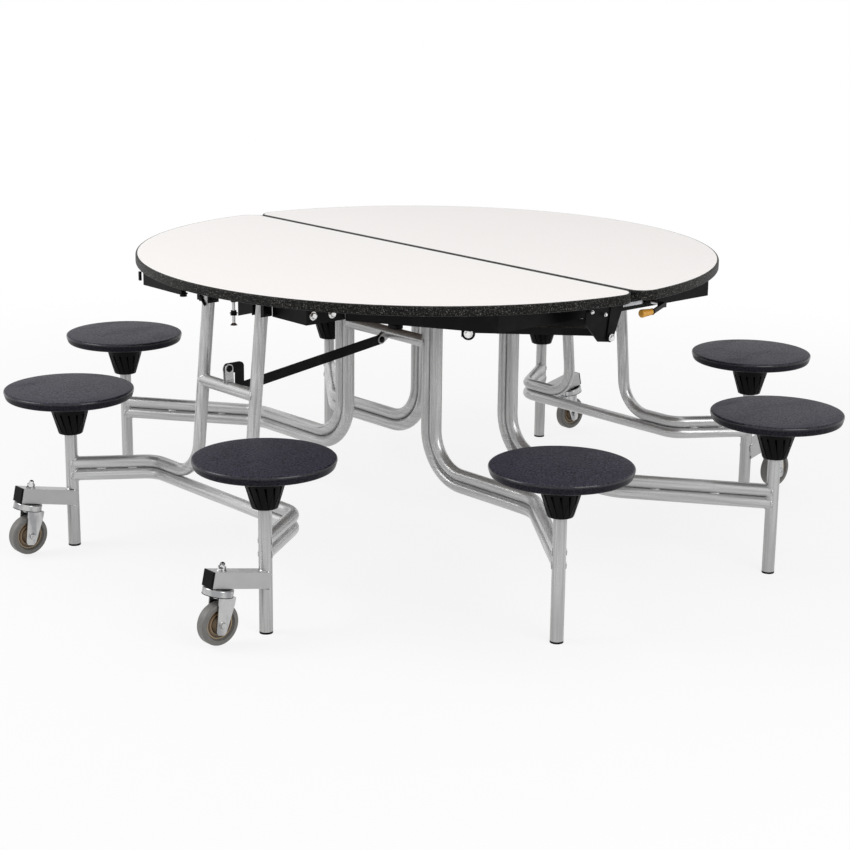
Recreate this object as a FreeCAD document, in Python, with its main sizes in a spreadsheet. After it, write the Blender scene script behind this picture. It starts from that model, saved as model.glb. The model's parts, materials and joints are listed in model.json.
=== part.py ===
import FreeCAD, Part
import math
import os
import re
import Sketcher
from FreeCAD import Placement, Rotation, Vector

# Mobile folding cafeteria table, 60 in across, with eight swivel stools.
# Two half tops meet at a seam along X. Each half stands on a rim frame (two stools and two casters)
# and on a centre frame (two stools). A flat brace keeps the centre frame parallel to the rim frame
# while the seam rises and the half tops fold up to the vertical.
# Every piece is drawn for the near half (y < 0). The far half is the same piece turned half a turn about Z.

SIZES = (
    # half tops
    ("top_radius", 762.0, "outer radius of the round top"),
    ("top_height", 746.0, "height of the table surface"),
    ("top_thick", 24.0, "thickness of top, core and laminate together"),
    ("edge_wall", 5.0, "width of the sprayed edge"),
    ("edge_round", 4.0, "rounding of the sprayed edge"),
    ("seam_gap", 3.0, "gap between the two half tops"),
    ("corner_round", 52.0, "plan rounding of each half at the seam ends"),
    # tubes
    ("tube_radius", 15.875, "outer radius of the round tubes, 1 1/4 in"),
    ("tube_wall", 2.1, "wall of the round tubes, 14 gauge"),
    ("stack_pitch", 31.9, "height between the axes of two stacked tubes"),
    ("cope_start", 4.0, "how far from the post axis a coped tube begins"),
    # rim frame
    ("rim_post_across", 415.0, "rim stool post, distance from the YZ plane"),
    ("rim_post_out", 850.0, "rim stool post, distance from the seam"),
    ("rim_corner_across", 295.0, "corner of the rim tubes, distance from the YZ plane"),
    ("rim_run_out", 671.0, "straight run of the rim tubes, distance from the seam"),
    ("rim_low_height", 190.0, "axis height of the lower rim tube"),
    ("rim_corner_bend", 60.0, "bend radius at the rim corners"),
    ("rim_upright_across", 109.5, "rim upright, distance from the YZ plane"),
    ("rim_upright_bend", 85.0, "bend radius at the foot of a rim upright"),
    ("rim_upright_lean", 0.1, "lean of the rim uprights toward the seam, mm per mm"),
    ("rim_cross_height", 468.6, "axis height of the rim cross tube"),
    ("swing_room", 2.0, "gap between an upright's cut top and the underside as it swings"),
    # centre frame
    ("mid_post_across", 887.0, "centre stool post, distance from the YZ plane"),
    ("mid_post_out", 378.0, "centre stool post, distance from the seam"),
    ("mid_kink_across", 560.0, "kink of the centre tubes, distance from the YZ plane"),
    ("mid_run_out", 136.0, "straight run of the centre tubes, distance from the seam"),
    ("mid_low_height", 184.0, "axis height of the lower centre tube"),
    ("mid_kink_bend", 120.0, "bend radius at the kink"),
    ("mid_upright_across", 177.0, "middle of a double upright, distance from the YZ plane"),
    ("mid_upright_bend", 100.0, "bend radius of the upper tube at the foot of a double upright"),
    ("mid_cross_height", 541.0, "axis height of the centre cross tube"),
    # pivots
    ("mid_pivot_drop", 37.0, "centre frame's pivots, depth below the underside"),
    ("rim_pivot_drop", 42.5, "rim frame's pivots, depth below the underside"),
    ("pivot_radius", 6.0, "radius of the pivot bolts"),
    ("pivot_fit", 0.08, "radial running clearance of a pivot"),
    ("plate_thick", 3.0, "thickness of brackets and plates"),
    ("side_room", 0.5, "side clearance between a bracket and what turns in it"),
    ("bracket_side", 4.0, "how far a pivot plate reaches past its bolt's own width"),
    ("bracket_below", 14.0, "how far a pivot plate reaches below its bolt"),
    ("bracket_lip", 12.0, "width of the lip beside a rim pivot plate"),
    ("bracket_lip_drop", 54.0, "depth of that lip below the underside"),
    ("seam_pin_drop", 100.0, "hinge pin between the half tops, depth below the underside"),
    ("seam_plate_across", 665.0, "seam hinge plates, distance from the YZ plane"),
    ("seam_plate_width", 82.0, "width of the pinned seam plate at the top"),
    ("seam_plate_foot", 39.0, "foot of the pinned seam plate, distance from the seam"),
    ("seam_shoulder", 60.0, "upright side of the pinned plate, from the underside"),
    ("seam_heel", 6.0, "rise of the pinned plate's heel above its round end"),
    ("seam_leaf_width", 53.0, "width of the bored seam plate at the top"),
    # braces
    ("brace_width", 25.0, "width of the flat brace"),
    ("brace_thick", 5.0, "thickness of the flat brace"),
    ("brace_high_back", 24.0, "brace's upper pin, distance behind the centre cross tube's axis"),
    ("brace_high_drop", 17.0, "brace's upper pin, distance below the centre cross tube's axis"),
    ("brace_heel_ahead", 31.5, "brace's heel, distance from the rim cross tube's axis toward the seam"),
    ("brace_heel_drop", 4.0, "brace's heel, distance below the rim cross tube's axis"),
    ("brace_pin_radius", 4.0, "radius of the brace's pins"),
    ("brace_eye_room", 0.5, "radial clearance of the brace's upper eye"),
    # posts and stools
    ("glide_height", 5.0, "height of the glide below a post"),
    ("post_drop", 9.0, "top of a post, depth below the underside of its seat"),
    ("seat_radius", 165.0, "radius of a seat"),
    ("seat_height", 421.0, "height of a seat's rim"),
    ("seat_crown", 3.5, "crown of a seat above its rim"),
    ("seat_thick", 24.0, "thickness of a seat at its rim"),
    ("hub_height", 95.0, "height of a hub"),
    ("hub_low_radius", 28.0, "radius of a hub at its foot"),
    ("hub_high_radius", 52.0, "radius of a hub under the seat"),
    ("hub_flats", 14.0, "number of flats round a hub"),
    ("hub_fit", 0.08, "radial clearance of a hub on its post"),
    ("thrust_gap", 0.3, "gap between the top of a post and its hub"),
    # caster arms and casters
    ("arm_size", 38.1, "side of the square caster arm, 1 1/2 in"),
    ("arm_wall", 2.5, "wall of the square caster arm"),
    ("arm_length", 160.0, "length of a caster arm from the post axis"),
    ("arm_height", 131.0, "height of the arm's axis at the post axis"),
    ("arm_pitch", 12.5, "rise of a caster arm, degrees"),
    ("plug_thick", 5.0, "thickness of an arm's end plug"),
    ("stem_out", 130.0, "caster stem, distance from the post axis along the arm"),
    ("stem_radius", 6.35, "radius of a caster stem, 1/2 in"),
    ("head_radius", 36.0, "radius of a caster's swivel head"),
    ("head_height", 17.0, "height of the swivel head"),
    ("crown_thick", 3.0, "thickness of the fork's crown"),
    ("nut_width", 7.0, "radius of an axle nut over its corners"),
    ("nut_thick", 3.0, "thickness of an axle nut"),
    ("cap_height", 9.0, "height of the hexagon of a stem's cap nut"),
    ("cap_stand", 14.0, "how far a stem stands above its arm"),
    ("washer_thick", 2.0, "thickness of a stem's washer"),
    ("retainer_thick", 4.0, "thickness of a stem's retainer below the head"),
    ("head_gap", 1.4, "gap between an arm and the swivel head"),
    ("wheel_radius", 50.0, "radius of a caster wheel, 4 in nominal"),
    ("wheel_width", 30.0, "width of a caster wheel"),
    ("wheel_drop", 103.5, "wheel axis below the arm's axis, along the stem"),
    ("wheel_trail", 14.0, "wheel axis behind the stem's axis"),
    ("axle_radius", 4.0, "radius of a wheel's axle bolt"),
    ("fork_gap", 2.5, "gap between a wheel and its fork"),
    ("fork_lead", 22.0, "top of a fork leg, from the axle to its front edge"),
    ("fork_tail", 24.0, "top of a fork leg, from the axle to its back edge"),
    ("fork_neck", 50.0, "height above the axle where a fork leg starts to narrow"),
    ("fork_toe", 14.0, "half width of a fork leg near its foot"),
    ("fork_below", 23.0, "how far a fork leg reaches below the axle"),
    # aprons and rails under a half top
    ("apron_depth", 61.0, "depth of the aprons below the top"),
    ("apron_side_across", 600.0, "side apron, distance from the YZ plane"),
    ("apron_corner_out", 308.0, "corner of side and slanted apron, distance from the seam"),
    ("apron_inner_out", 492.0, "inner end of the slanted apron, distance from the seam"),
    ("channel_out", 610.0, "outer face of the front channel, distance from the seam"),
    ("channel_start", 131.0, "front channel, end beside the rim upright"),
    ("channel_end", 260.0, "front channel, end with the bolted plate"),
    ("channel_depth", 58.0, "depth of the front channel"),
    ("channel_width", 24.0, "width of the front channel"),
    ("rail_out", 620.0, "other front rail, distance from the seam"),
    ("back_rail_near", 238.0, "other front rail, inner end"),
    ("back_rail_far", 410.0, "other front rail, outer end"),
    ("back_corner_out", 433.0, "corner of the other side apron, distance from the seam"),
    ("apron_end_out", 20.0, "end of the side aprons, distance from the seam"),
    ("rail_flange", 22.0, "flange of the rails and aprons"),
    ("tie_size", 18.0, "side of the square tie tube"),
    ("tie_drop", 84.0, "tie tube's axis, depth below the underside"),
    ("tie_across", 425.0, "tie tube's hanger, distance from the YZ plane"),
    ("tie_out", 259.0, "tie tube's hanger, distance from the seam"),
    ("bumper_out", 620.0, "bumper screw, distance from the seam"),
    ("bumper_across", 13.0, "bumper screw, distance from the YZ plane"),
    ("bumper_drop", 101.0, "foot of the bumper screw, depth below the underside"),
    ("bumper_radius", 9.0, "radius of the bumper's pad and cup"),
    ("thread_radius", 4.0, "radius of the bumper screws"),
    ("pad_height", 6.0, "height of a bumper's pad"),
    ("cup_drop", 76.0, "bumper's cup, depth below the underside"),
    ("seat_drop", 37.0, "bumper's nut plate, depth below the underside"),
    ("stop_across", 246.0, "short stop screw, distance from the YZ plane"),
    ("stop_out", 608.0, "short stop screw, distance from the seam"),
    ("stop_drop", 67.0, "foot of the short stop screw, depth below the underside"),
    ("gusset_near", 5.0, "gusset, edge beside the brace"),
    ("gusset_far", 86.0, "gusset, edge beside the rim upright"),
    ("gusset_deep", 75.0, "depth of the gusset beside the brace"),
    ("gusset_shallow", 53.0, "depth of the gusset beside the rim upright"),
    # latch
    ("latch_out", 150.0, "latch shaft, distance from the seam"),
    ("latch_drop", 32.0, "latch shaft, depth below the underside"),
    ("latch_radius", 5.0, "radius of the latch shaft"),
    ("latch_inner", 632.0, "inner end of the latch shaft"),
    ("latch_outer", 706.0, "outer end of the latch shaft"),
    ("hook_across", 644.0, "latch hook, distance from the YZ plane"),
    ("hook_past", 16.0, "how far the latch hook reaches past the seam"),
    ("lever_reach", 63.0, "lever, shaft to the middle of its grip"),
    ("lever_drop", 13.0, "lever, drop of the grip below the shaft"),
    ("hook_rim", 2.0, "metal round the shaft at the hook's eye"),
    ("hook_half", 4.5, "half the height of the hook's bar"),
    ("striker_drop", 8.0, "latch striker, its axis below the underside"),
    ("striker_out", 12.0, "latch striker, distance from the seam"),
    ("striker_long", 14.0, "length of the striker between its ears"),
    ("ear_size", 16.0, "width of the striker's ears"),
    ("grip_radius", 10.5, "radius of the lever's grip at its free end"),
    ("grip_length", 40.0, "length of the lever's grip"),
)

NAMES = {name for name, value, note in SIZES}
WORD = re.compile(r"[a-z][a-z_0-9]*")
AXIS_TURNS = {
    "x": Rotation(Vector(0, 1, 0), 90),
    "z": Rotation(),
}

doc = FreeCAD.newDocument("folding_table")
sheet = doc.addObject("Spreadsheet::Sheet", "Sizes")
for row, (name, value, note) in enumerate(SIZES, 1):
    sheet.set(f"A{row}", note)
    sheet.set(f"B{row}", str(value))
    sheet.setAlias(f"B{row}", name)
doc.recompute()

nodes = []


# ---- small helpers -------------------------------------------------------------------------------

def bound(text):
    """Writes an expression with the sheet's aliases in full."""
    return WORD.sub(lambda word: f"Sizes.{word[0]}" if word[0] in NAMES else word[0], f"({text})")


def number(text):
    """The present value of an expression."""
    value = sheet.evalExpression(bound(text))
    return float(getattr(value, "Value", value))


def tie(item, prop, text):
    item.setExpression(prop, bound(text))


def place(item, spot, turn=None):
    """Ties an item's place to expressions, after its fixed turn."""
    if turn is not None:
        item.Placement = Placement(Vector(), turn)
    for letter, text in zip("xyz", spot):
        tie(item, f"Placement.Base.{letter}", text)


def block(name, corner, spans):
    box = doc.addObject("Part::Box", name)
    for prop, text in zip(("Length", "Width", "Height"), spans):
        tie(box, prop, text)
    place(box, corner)
    return box


def rod(name, start, radius, length, along="z"):
    item = doc.addObject("Part::Cylinder", name)
    tie(item, "Radius", radius)
    tie(item, "Height", length)
    place(item, start, AXIS_TURNS[along])
    return item


def nut(name, start, across, length, along="z"):
    """A six-sided prism of a given radius over its corners."""
    item = doc.addObject("Part::Prism", name)
    item.Polygon = 6
    tie(item, "Circumradius", across)
    tie(item, "Height", length)
    place(item, start, AXIS_TURNS[along])
    return item


def cut(name, base, tool):
    item = doc.addObject("Part::Cut", name)
    item.Base = base
    item.Tool = tool
    return item


def fuse(name, items):
    item = doc.addObject("Part::MultiFuse", name)
    item.Shapes = items
    return item


def group(name, items):
    item = doc.addObject("Part::Compound", name)
    item.Links = items
    return item


def feature(name, shape):
    item = doc.addObject("Part::Feature", name)
    item.Shape = shape
    return item


def keep(item, label, turned=False):
    """Names an item as a sub-part; the far half's is turned half a turn about Z."""
    item.Label = label
    if turned:
        item.Placement = Placement(Vector(), Rotation(Vector(0, 0, 1), 180))
    nodes.append(item)
    return item


def new_body(name):
    return doc.addObject("PartDesign::Body", name)


def sketch_on(body, role, height="0"):
    """A sketch on one of the body's own origin planes, lifted along its normal."""
    plane = next(item for item in body.Origin.OriginFeatures if item.Role == role)
    sketch = body.newObject("Sketcher::SketchObject", f"{body.Name}_sketch")
    sketch.AttachmentSupport = [(plane, "")]
    sketch.MapMode = "FlatFace"
    tie(sketch, "AttachmentOffset.Base.z", height)
    return sketch


def pin_point(sketch, geometry, end, across, up):
    """Ties one point of a sketch to its two coordinates."""
    for kind, axis, text in (("DistanceX", -2, across), ("DistanceY", -1, up)):
        if text == "0":
            sketch.addConstraint(Sketcher.Constraint("PointOnObject", geometry, end, axis))
            continue
        index = sketch.addConstraint(Sketcher.Constraint(kind, -1, 1, geometry, end, number(text)))
        tie(sketch, f"Constraints[{index}]", text)


def outline(sketch, points):
    """A closed chain of lines through points given as pairs of expressions."""
    spots = [Vector(number(across), number(up), 0) for across, up in points]
    first = sketch.GeometryCount
    count = len(points)
    for place_in in range(count):
        sketch.addGeometry(Part.LineSegment(spots[place_in], spots[(place_in + 1) % count]))
    for place_in in range(count):
        follower = first + (place_in + 1) % count
        sketch.addConstraint(Sketcher.Constraint("Coincident", first + place_in, 2, follower, 1))
    for place_in, (across, up) in enumerate(points):
        pin_point(sketch, first + place_in, 1, across, up)


def ring(sketch, centre, radius):
    """A circle with its centre and radius tied to expressions."""
    spot = Vector(number(centre[0]), number(centre[1]), 0)
    circle = sketch.addGeometry(Part.Circle(spot, Vector(0, 0, 1), number(radius)))
    pin_point(sketch, circle, 3, centre[0], centre[1])
    index = sketch.addConstraint(Sketcher.Constraint("Radius", circle, number(radius)))
    tie(sketch, f"Constraints[{index}]", radius)


def pad(body, sketch, length):
    item = body.newObject("PartDesign::Pad", f"{body.Name}_pad")
    item.Profile = sketch
    tie(item, "Length", length)
    doc.recompute()
    return item


def pocket(body, sketch, length, reverse=False):
    item = body.newObject("PartDesign::Pocket", f"{body.Name}_pocket")
    item.Profile = sketch
    item.Reversed = reverse
    tie(item, "Length", length)
    doc.recompute()
    return item


def revolve(body, sketch):
    """Turns a profile drawn on the XZ plane about the Z axis."""
    item = body.newObject("PartDesign::Revolution", f"{body.Name}_turned")
    item.Profile = sketch
    item.ReferenceAxis = (sketch, ["V_Axis"])
    item.Angle = 360
    doc.recompute()
    return item


def rounded(body, base, radius, wanted):
    """Fillets the edges of a feature that a test picks out."""
    names = [f"Edge{number_of + 1}" for number_of, edge in enumerate(base.Shape.Edges) if wanted(edge)]
    item = body.newObject("PartDesign::Fillet", f"{body.Name}_fillet")
    item.Base = (base, names)
    tie(item, "Radius", radius)
    doc.recompute()
    return item


def is_upright(edge):
    """A straight edge along Z."""
    low = edge.Vertexes[0].Point
    high = edge.Vertexes[-1].Point
    return (high - low).Length > 0.1 and abs(high.z - low.z) > 0.99 * edge.Length


def spot(across, out, height):
    """A point from three expressions; out is measured from the seam into the near half."""
    return Vector(number(across), -number(out), number(height))


# ---- half tops -----------------------------------------------------------------------------------

def half_disc(sketch, inset):
    """The near half of the disc, inset from its rim and from the seam."""
    radius = number(f"top_radius - {inset}")
    chord = number(f"seam_gap / 2 + {inset}")
    reach = (radius ** 2 - chord ** 2) ** 0.5
    left = Vector(-reach, -chord, 0)
    right = Vector(reach, -chord, 0)
    line = sketch.addGeometry(Part.LineSegment(right, left))
    arc = sketch.addGeometry(Part.Arc(left, Vector(0, -radius, 0), right))
    sketch.addConstraint(Sketcher.Constraint("Coincident", line, 2, arc, 1))
    sketch.addConstraint(Sketcher.Constraint("Coincident", line, 1, arc, 2))
    sketch.addConstraint(Sketcher.Constraint("Horizontal", line))
    sketch.addConstraint(Sketcher.Constraint("Coincident", arc, 3, -1, 1))
    size = sketch.addConstraint(Sketcher.Constraint("Radius", arc, radius))
    tie(sketch, f"Constraints[{size}]", f"top_radius - {inset}")
    depth = sketch.addConstraint(Sketcher.Constraint("DistanceY", -1, 1, line, 1, -chord))
    tie(sketch, f"Constraints[{depth}]", f"-(seam_gap / 2 + {inset})")


def half_plate(name, inset):
    """A half disc as thick as the top, with its seam corners rounded."""
    body = new_body(name)
    sketch = sketch_on(body, "XY_Plane", "top_height - top_thick")
    half_disc(sketch, inset)
    plate = pad(body, sketch, "top_thick")
    plate = rounded(body, plate, f"corner_round - {inset}", is_upright)
    return body, plate


def top_board(label, turned):
    """Core and laminate of a half top, inside the sprayed edge."""
    body, plate = half_plate(label, "edge_wall")
    keep(body, label, turned)


def top_edge(label, turned):
    """The sprayed edge, a rounded band all round one half top."""
    body, plate = half_plate(f"{label}_blank", "0")
    rounded(body, plate, "edge_round", lambda edge: not is_upright(edge))
    board, plate = half_plate(f"{label}_board", "edge_wall")
    keep(cut(f"{label}_band", body, board), label, turned)


# ---- bent tubes ----------------------------------------------------------------------------------

def centre_line(points, radii):
    """Straight runs through points, joined by tangent arcs of the given radii."""
    edges = []
    start = points[0]
    for before, corner, after, radius in zip(points, points[1:], points[2:], radii):
        inward = (corner - before).normalize()
        outward = (after - corner).normalize()
        half_turn = inward.getAngle(outward) / 2
        setback = radius * math.tan(half_turn)
        arc_start = corner - inward * setback
        arc_end = corner + outward * setback
        bisector = (outward - inward).normalize()
        middle = corner + bisector * (radius / math.cos(half_turn) - radius)
        edges.append(Part.LineSegment(start, arc_start).toShape())
        edges.append(Part.Arc(arc_start, middle, arc_end).toShape())
        start = arc_end
    edges.append(Part.LineSegment(start, points[-1]).toShape())
    return Part.Wire(edges)


def swept(points, radii, radius):
    path = centre_line(points, radii)
    direction = points[1] - points[0]
    profile = Part.Wire(Part.makeCircle(radius, points[0], direction))
    return path.makePipeShell([profile], True, True)


def bent_tube(points, radii):
    """A round tube of the frame's section along a bent centre line."""
    outer = swept(points, radii, number("tube_radius"))
    inner = swept(points, radii, number("tube_radius - tube_wall"))
    return outer.cut(inner)


def from_post(post, corner):
    """The point where a coped tube begins, just off the post's axis."""
    return post + (corner - post).normalize() * number("cope_start")


def coped(tube, post):
    """Cuts a tube's end to the round of its post."""
    return tube.cut(Part.makeCylinder(number("tube_radius"), number(POST_TOP), Vector(post.x, post.y, 0)))


# ---- places worked out from the sizes ------------------------------------------------------------

UNDERSIDE = "(top_height - top_thick)"
UP_HEIGHT = "(rim_low_height + stack_pitch)"
BRACE_HIGH_OUT = "(mid_run_out + brace_high_back)"
BRACE_HIGH_HEIGHT = "(mid_cross_height - brace_high_drop)"
RIM_PIVOT_HEIGHT = f"({UNDERSIDE} - rim_pivot_drop)"
MID_PIVOT_HEIGHT = f"({UNDERSIDE} - mid_pivot_drop)"
SEAM_PIN_HEIGHT = f"({UNDERSIDE} - seam_pin_drop)"
LATCH_HEIGHT = f"({UNDERSIDE} - latch_drop)"
POST_TOP = "(seat_height - seat_thick - post_drop)"


def upright_out(height):
    """Distance of a rim upright's axis from the seam at a height."""
    return f"(rim_run_out - rim_upright_lean * ({height} - {UP_HEIGHT}))"


RIM_PIVOT_OUT = upright_out(RIM_PIVOT_HEIGHT)
# the four pivots of each half stand at the corners of a parallelogram
BRACE_LOW_OUT = f"({RIM_PIVOT_OUT} + brace_high_back)"
BRACE_LOW_HEIGHT = f"({BRACE_HIGH_HEIGHT} + mid_pivot_drop - rim_pivot_drop)"


def swing_top(pivot_height):
    """Height at which an upright is cut, so that its corner swings clear of the underside."""
    reach = f"({UNDERSIDE} - {pivot_height} - swing_room)"
    return f"({pivot_height} + sqrt({reach}^2 - tube_radius^2))"


def upright_space(across, height_of_pivot, out):
    """A pivot's clearance hole through the uprights, along X."""
    radius = number("pivot_radius + pivot_fit")
    start = Vector(across - 2 * number("stack_pitch"), -number(out), number(height_of_pivot))
    return Part.makeCylinder(radius, 4 * number("stack_pitch"), start, Vector(1, 0, 0))


def cross_tube(reach, out, height, uprights):
    """A straight tube along X, coped onto the uprights at both ends."""
    half = number(reach)
    axis = spot("0", out, height)
    outer = Part.makeCylinder(number("tube_radius"), 2 * half, axis - Vector(half, 0, 0), Vector(1, 0, 0))
    bore = number("tube_radius - tube_wall")
    inner = Part.makeCylinder(bore, 2 * half, axis - Vector(half, 0, 0), Vector(1, 0, 0))
    return outer.cut(inner).cut(uprights)


def strap(start, end, radius, low, thick):
    """A flat link in the YZ plane with round ends, from low to low + thick along X."""
    start = Vector(0, start.y, start.z)
    end = Vector(0, end.y, end.z)
    along = (end - start).normalize() * radius
    side = Vector(0, -along.z, along.y)
    edges = [
        Part.LineSegment(start + side, end + side).toShape(),
        Part.Arc(end + side, end + along, end - side).toShape(),
        Part.LineSegment(end - side, start - side).toShape(),
        Part.Arc(start - side, start - along, start + side).toShape(),
    ]
    face = Part.Face(Part.Wire(edges))
    face.translate(Vector(low, 0, 0))
    return face.extrude(Vector(thick, 0, 0))


def eye(centre, radius, low, thick):
    return Part.makeCylinder(radius, thick, Vector(low, centre.y, centre.z), Vector(1, 0, 0))


# ---- rim frame -----------------------------------------------------------------------------------

def mirrored(points):
    return [Vector(-point.x, point.y, point.z) for point in points]


def rim_lower_tube(label, turned):
    """One tube from post to post, round both corners."""
    post = spot("rim_post_across", "rim_post_out", "rim_low_height")
    corner = spot("rim_corner_across", "rim_run_out", "rim_low_height")
    half = [from_post(post, corner), corner]
    bend = number("rim_corner_bend")
    tube = bent_tube(half + mirrored(half[::-1]), [bend, bend])
    for across in (post.x, -post.x):
        tube = coped(tube, Vector(across, post.y, 0))
    keep(feature(label, tube), label, turned)


def tabs(start, end, hole):
    """Two ears beside the brace, from a cross tube to the brace's pin, with the pin between them."""
    ear = number("brace_width / 2 - 1")
    inner = number("brace_thick / 2 + side_room")
    thick = number("plate_thick")
    tube = eye(start, number("tube_radius"), -2 * inner - thick, 4 * inner + 2 * thick)
    ears = []
    for low in (-inner - thick, inner):
        ears.append(strap(start, end, ear, low, thick).cut(tube))
    pin = eye(end, hole, -inner - thick, 2 * (inner + thick))
    return ears[0].fuse([ears[1], pin])


def rim_upper_tubes(label, turned):
    """Two tubes that leave the posts and rise as the leaning uprights, with a cross tube."""
    post = spot("rim_post_across", "rim_post_out", UP_HEIGHT)
    corner = spot("rim_corner_across", "rim_run_out", UP_HEIGHT)
    foot = spot("rim_upright_across", "rim_run_out", UP_HEIGHT)
    cut_height = swing_top(RIM_PIVOT_HEIGHT)
    top = spot("rim_upright_across", upright_out(cut_height), cut_height)
    route = [from_post(post, corner), corner, foot, top]
    bends = [number("rim_corner_bend"), number("rim_upright_bend")]
    tubes = []
    solids = []
    for points in (route, mirrored(route)):
        outer_post = Vector(math.copysign(post.x, points[0].x), post.y, 0)
        tube = coped(bent_tube(points, bends), outer_post)
        tubes.append(tube.cut(upright_space(points[-1].x, RIM_PIVOT_HEIGHT, RIM_PIVOT_OUT)))
        solids.append(swept(points, bends, number("tube_radius")))
    bar = cross_tube("rim_upright_across", upright_out("rim_cross_height"), "rim_cross_height",
                     solids[0].fuse(solids[1]))
    axis = spot("0", upright_out("rim_cross_height"), "rim_cross_height")
    pin = spot("0", BRACE_LOW_OUT, BRACE_LOW_HEIGHT)
    ears = tabs(axis, pin, number("brace_pin_radius"))
    keep(feature(label, Part.makeCompound(tubes + [bar, ears])), label, turned)


def posts(label, turned, across, out):
    """The two stool posts of one frame."""
    pair = []
    for side in ("", "-"):
        start = (f"{side}{across}", f"-{out}", "glide_height")
        length = f"{POST_TOP} - glide_height"
        outer = rod(f"{label}_outer", start, "tube_radius", length)
        bore = rod(f"{label}_bore", start, "tube_radius - tube_wall", f"{length} - tube_wall")
        pair.append(cut(f"{label}_post", outer, bore))
    keep(group(label, pair), label, turned)


def glides(label, turned, across, out):
    """A glide under each post, with a stem pushed into the tube."""
    pair = []
    for side in ("", "-"):
        start = (f"{side}{across}", f"-{out}", "0")
        foot = rod(f"{label}_foot", start, "tube_radius", "glide_height")
        stem = rod(f"{label}_stem", start, "tube_radius - tube_wall", "4 * glide_height")
        pair.append(fuse(f"{label}_glide", [foot, stem]))
    keep(group(label, pair), label, turned)


# ---- centre frame --------------------------------------------------------------------------------

def centre_tubes(label, turned, low):
    """A pair of tubes from the posts to the double uprights: the lower pair carries the cross tube."""
    height = "mid_low_height" if low else "(mid_low_height + stack_pitch)"
    across = "(mid_upright_across - stack_pitch / 2)" if low else "(mid_upright_across + stack_pitch / 2)"
    foot_bend = "mid_upright_bend + stack_pitch" if low else "mid_upright_bend"
    post = spot("mid_post_across", "mid_post_out", height)
    kink = spot("mid_kink_across", "mid_run_out", height)
    foot = spot(across, "mid_run_out", height)
    top = Vector(foot.x, foot.y, number(swing_top(MID_PIVOT_HEIGHT)))
    route = [from_post(post, kink), kink, foot, top]
    bends = [number("mid_kink_bend"), number(foot_bend)]
    pieces = []
    solids = []
    for points in (route, mirrored(route)):
        outer_post = Vector(math.copysign(post.x, points[0].x), post.y, 0)
        tube = coped(bent_tube(points, bends), outer_post)
        pieces.append(tube.cut(upright_space(points[-1].x, MID_PIVOT_HEIGHT, "mid_run_out")))
        solids.append(swept(points, bends, number("tube_radius")))
    if low:
        pieces.append(cross_tube(across, "mid_run_out", "mid_cross_height", solids[0].fuse(solids[1])))
        axis = spot("0", "mid_run_out", "mid_cross_height")
        pin = spot("0", BRACE_HIGH_OUT, BRACE_HIGH_HEIGHT)
        pieces.append(tabs(axis, pin, number("brace_pin_radius")))
    keep(feature(label, Part.makeCompound(pieces)), label, turned)


def brace(label, turned):
    """The flat link that keeps the centre frame upright, with a heel that rises past the rim cross tube."""
    low = spot("0", BRACE_LOW_OUT, BRACE_LOW_HEIGHT)
    high = spot("0", BRACE_HIGH_OUT, BRACE_HIGH_HEIGHT)
    heel_out = f"{upright_out('rim_cross_height')} - brace_heel_ahead"
    heel = spot("0", heel_out, "rim_cross_height - brace_heel_drop")
    thick = number("brace_thick")
    half = number("brace_width / 2")
    knee = Vector(0, heel.y, low.z)
    corners = (low, knee, heel, high)
    runs = [strap(start, end, half, -thick / 2, thick) for start, end in zip(corners, corners[1:])]
    link = runs[0].fuse(runs[1:])
    link = link.cut(eye(low, number("brace_pin_radius + pivot_fit"), -thick, 2 * thick))
    link = link.cut(eye(high, number("brace_pin_radius + brace_eye_room"), -thick, 2 * thick))
    keep(feature(label, link.removeSplitter()), label, turned)


# ---- brackets and plates under a half top --------------------------------------------------------

def pivot_bracket(name, across, half_width, out, height, lipped):
    """Two plates on each side that hang beside an upright, joined by the pivot bolt."""
    inner = f"({across} - {half_width} - side_room - plate_thick)"
    outer = f"({across} + {half_width} + side_room)"
    reach = "(2 * pivot_radius + bracket_side)"
    brackets = []
    for side in ("", "-"):
        plates = []
        for low in (inner, outer):
            start = low if side == "" else f"(-{low} - plate_thick)"
            plates.append(block(f"{name}_plate", (start, f"-{out} - {reach}", f"{height} - bracket_below"),
                                ("plate_thick", f"2 * {reach}", f"{UNDERSIDE} - {height} + bracket_below")))
        if lipped:
            start = outer if side == "" else f"(-{outer} - bracket_lip)"
            corner = (start, f"-{out} - {reach}", f"{UNDERSIDE} - bracket_lip_drop")
            plates.append(block(f"{name}_lip", corner, ("bracket_lip", "plate_thick", "bracket_lip_drop")))
        start = f"{inner} - plate_thick" if side == "" else f"-({outer}) - 2 * plate_thick"
        bolt = rod(f"{name}_bolt", (start, f"-{out}", height), "pivot_radius",
                   f"{outer} - {inner} + 3 * plate_thick", "x")
        brackets.append(fuse(f"{name}_bracket", plates + [bolt]))
    return brackets


def leg_brackets(name):
    """The brackets that carry the uprights of both frames."""
    rim = pivot_bracket(f"{name}_rim", "rim_upright_across", "tube_radius",
                        RIM_PIVOT_OUT, RIM_PIVOT_HEIGHT, True)
    return rim + pivot_bracket(f"{name}_mid", "mid_upright_across", "(tube_radius + stack_pitch / 2)",
                               "mid_run_out", MID_PIVOT_HEIGHT, False)


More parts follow.
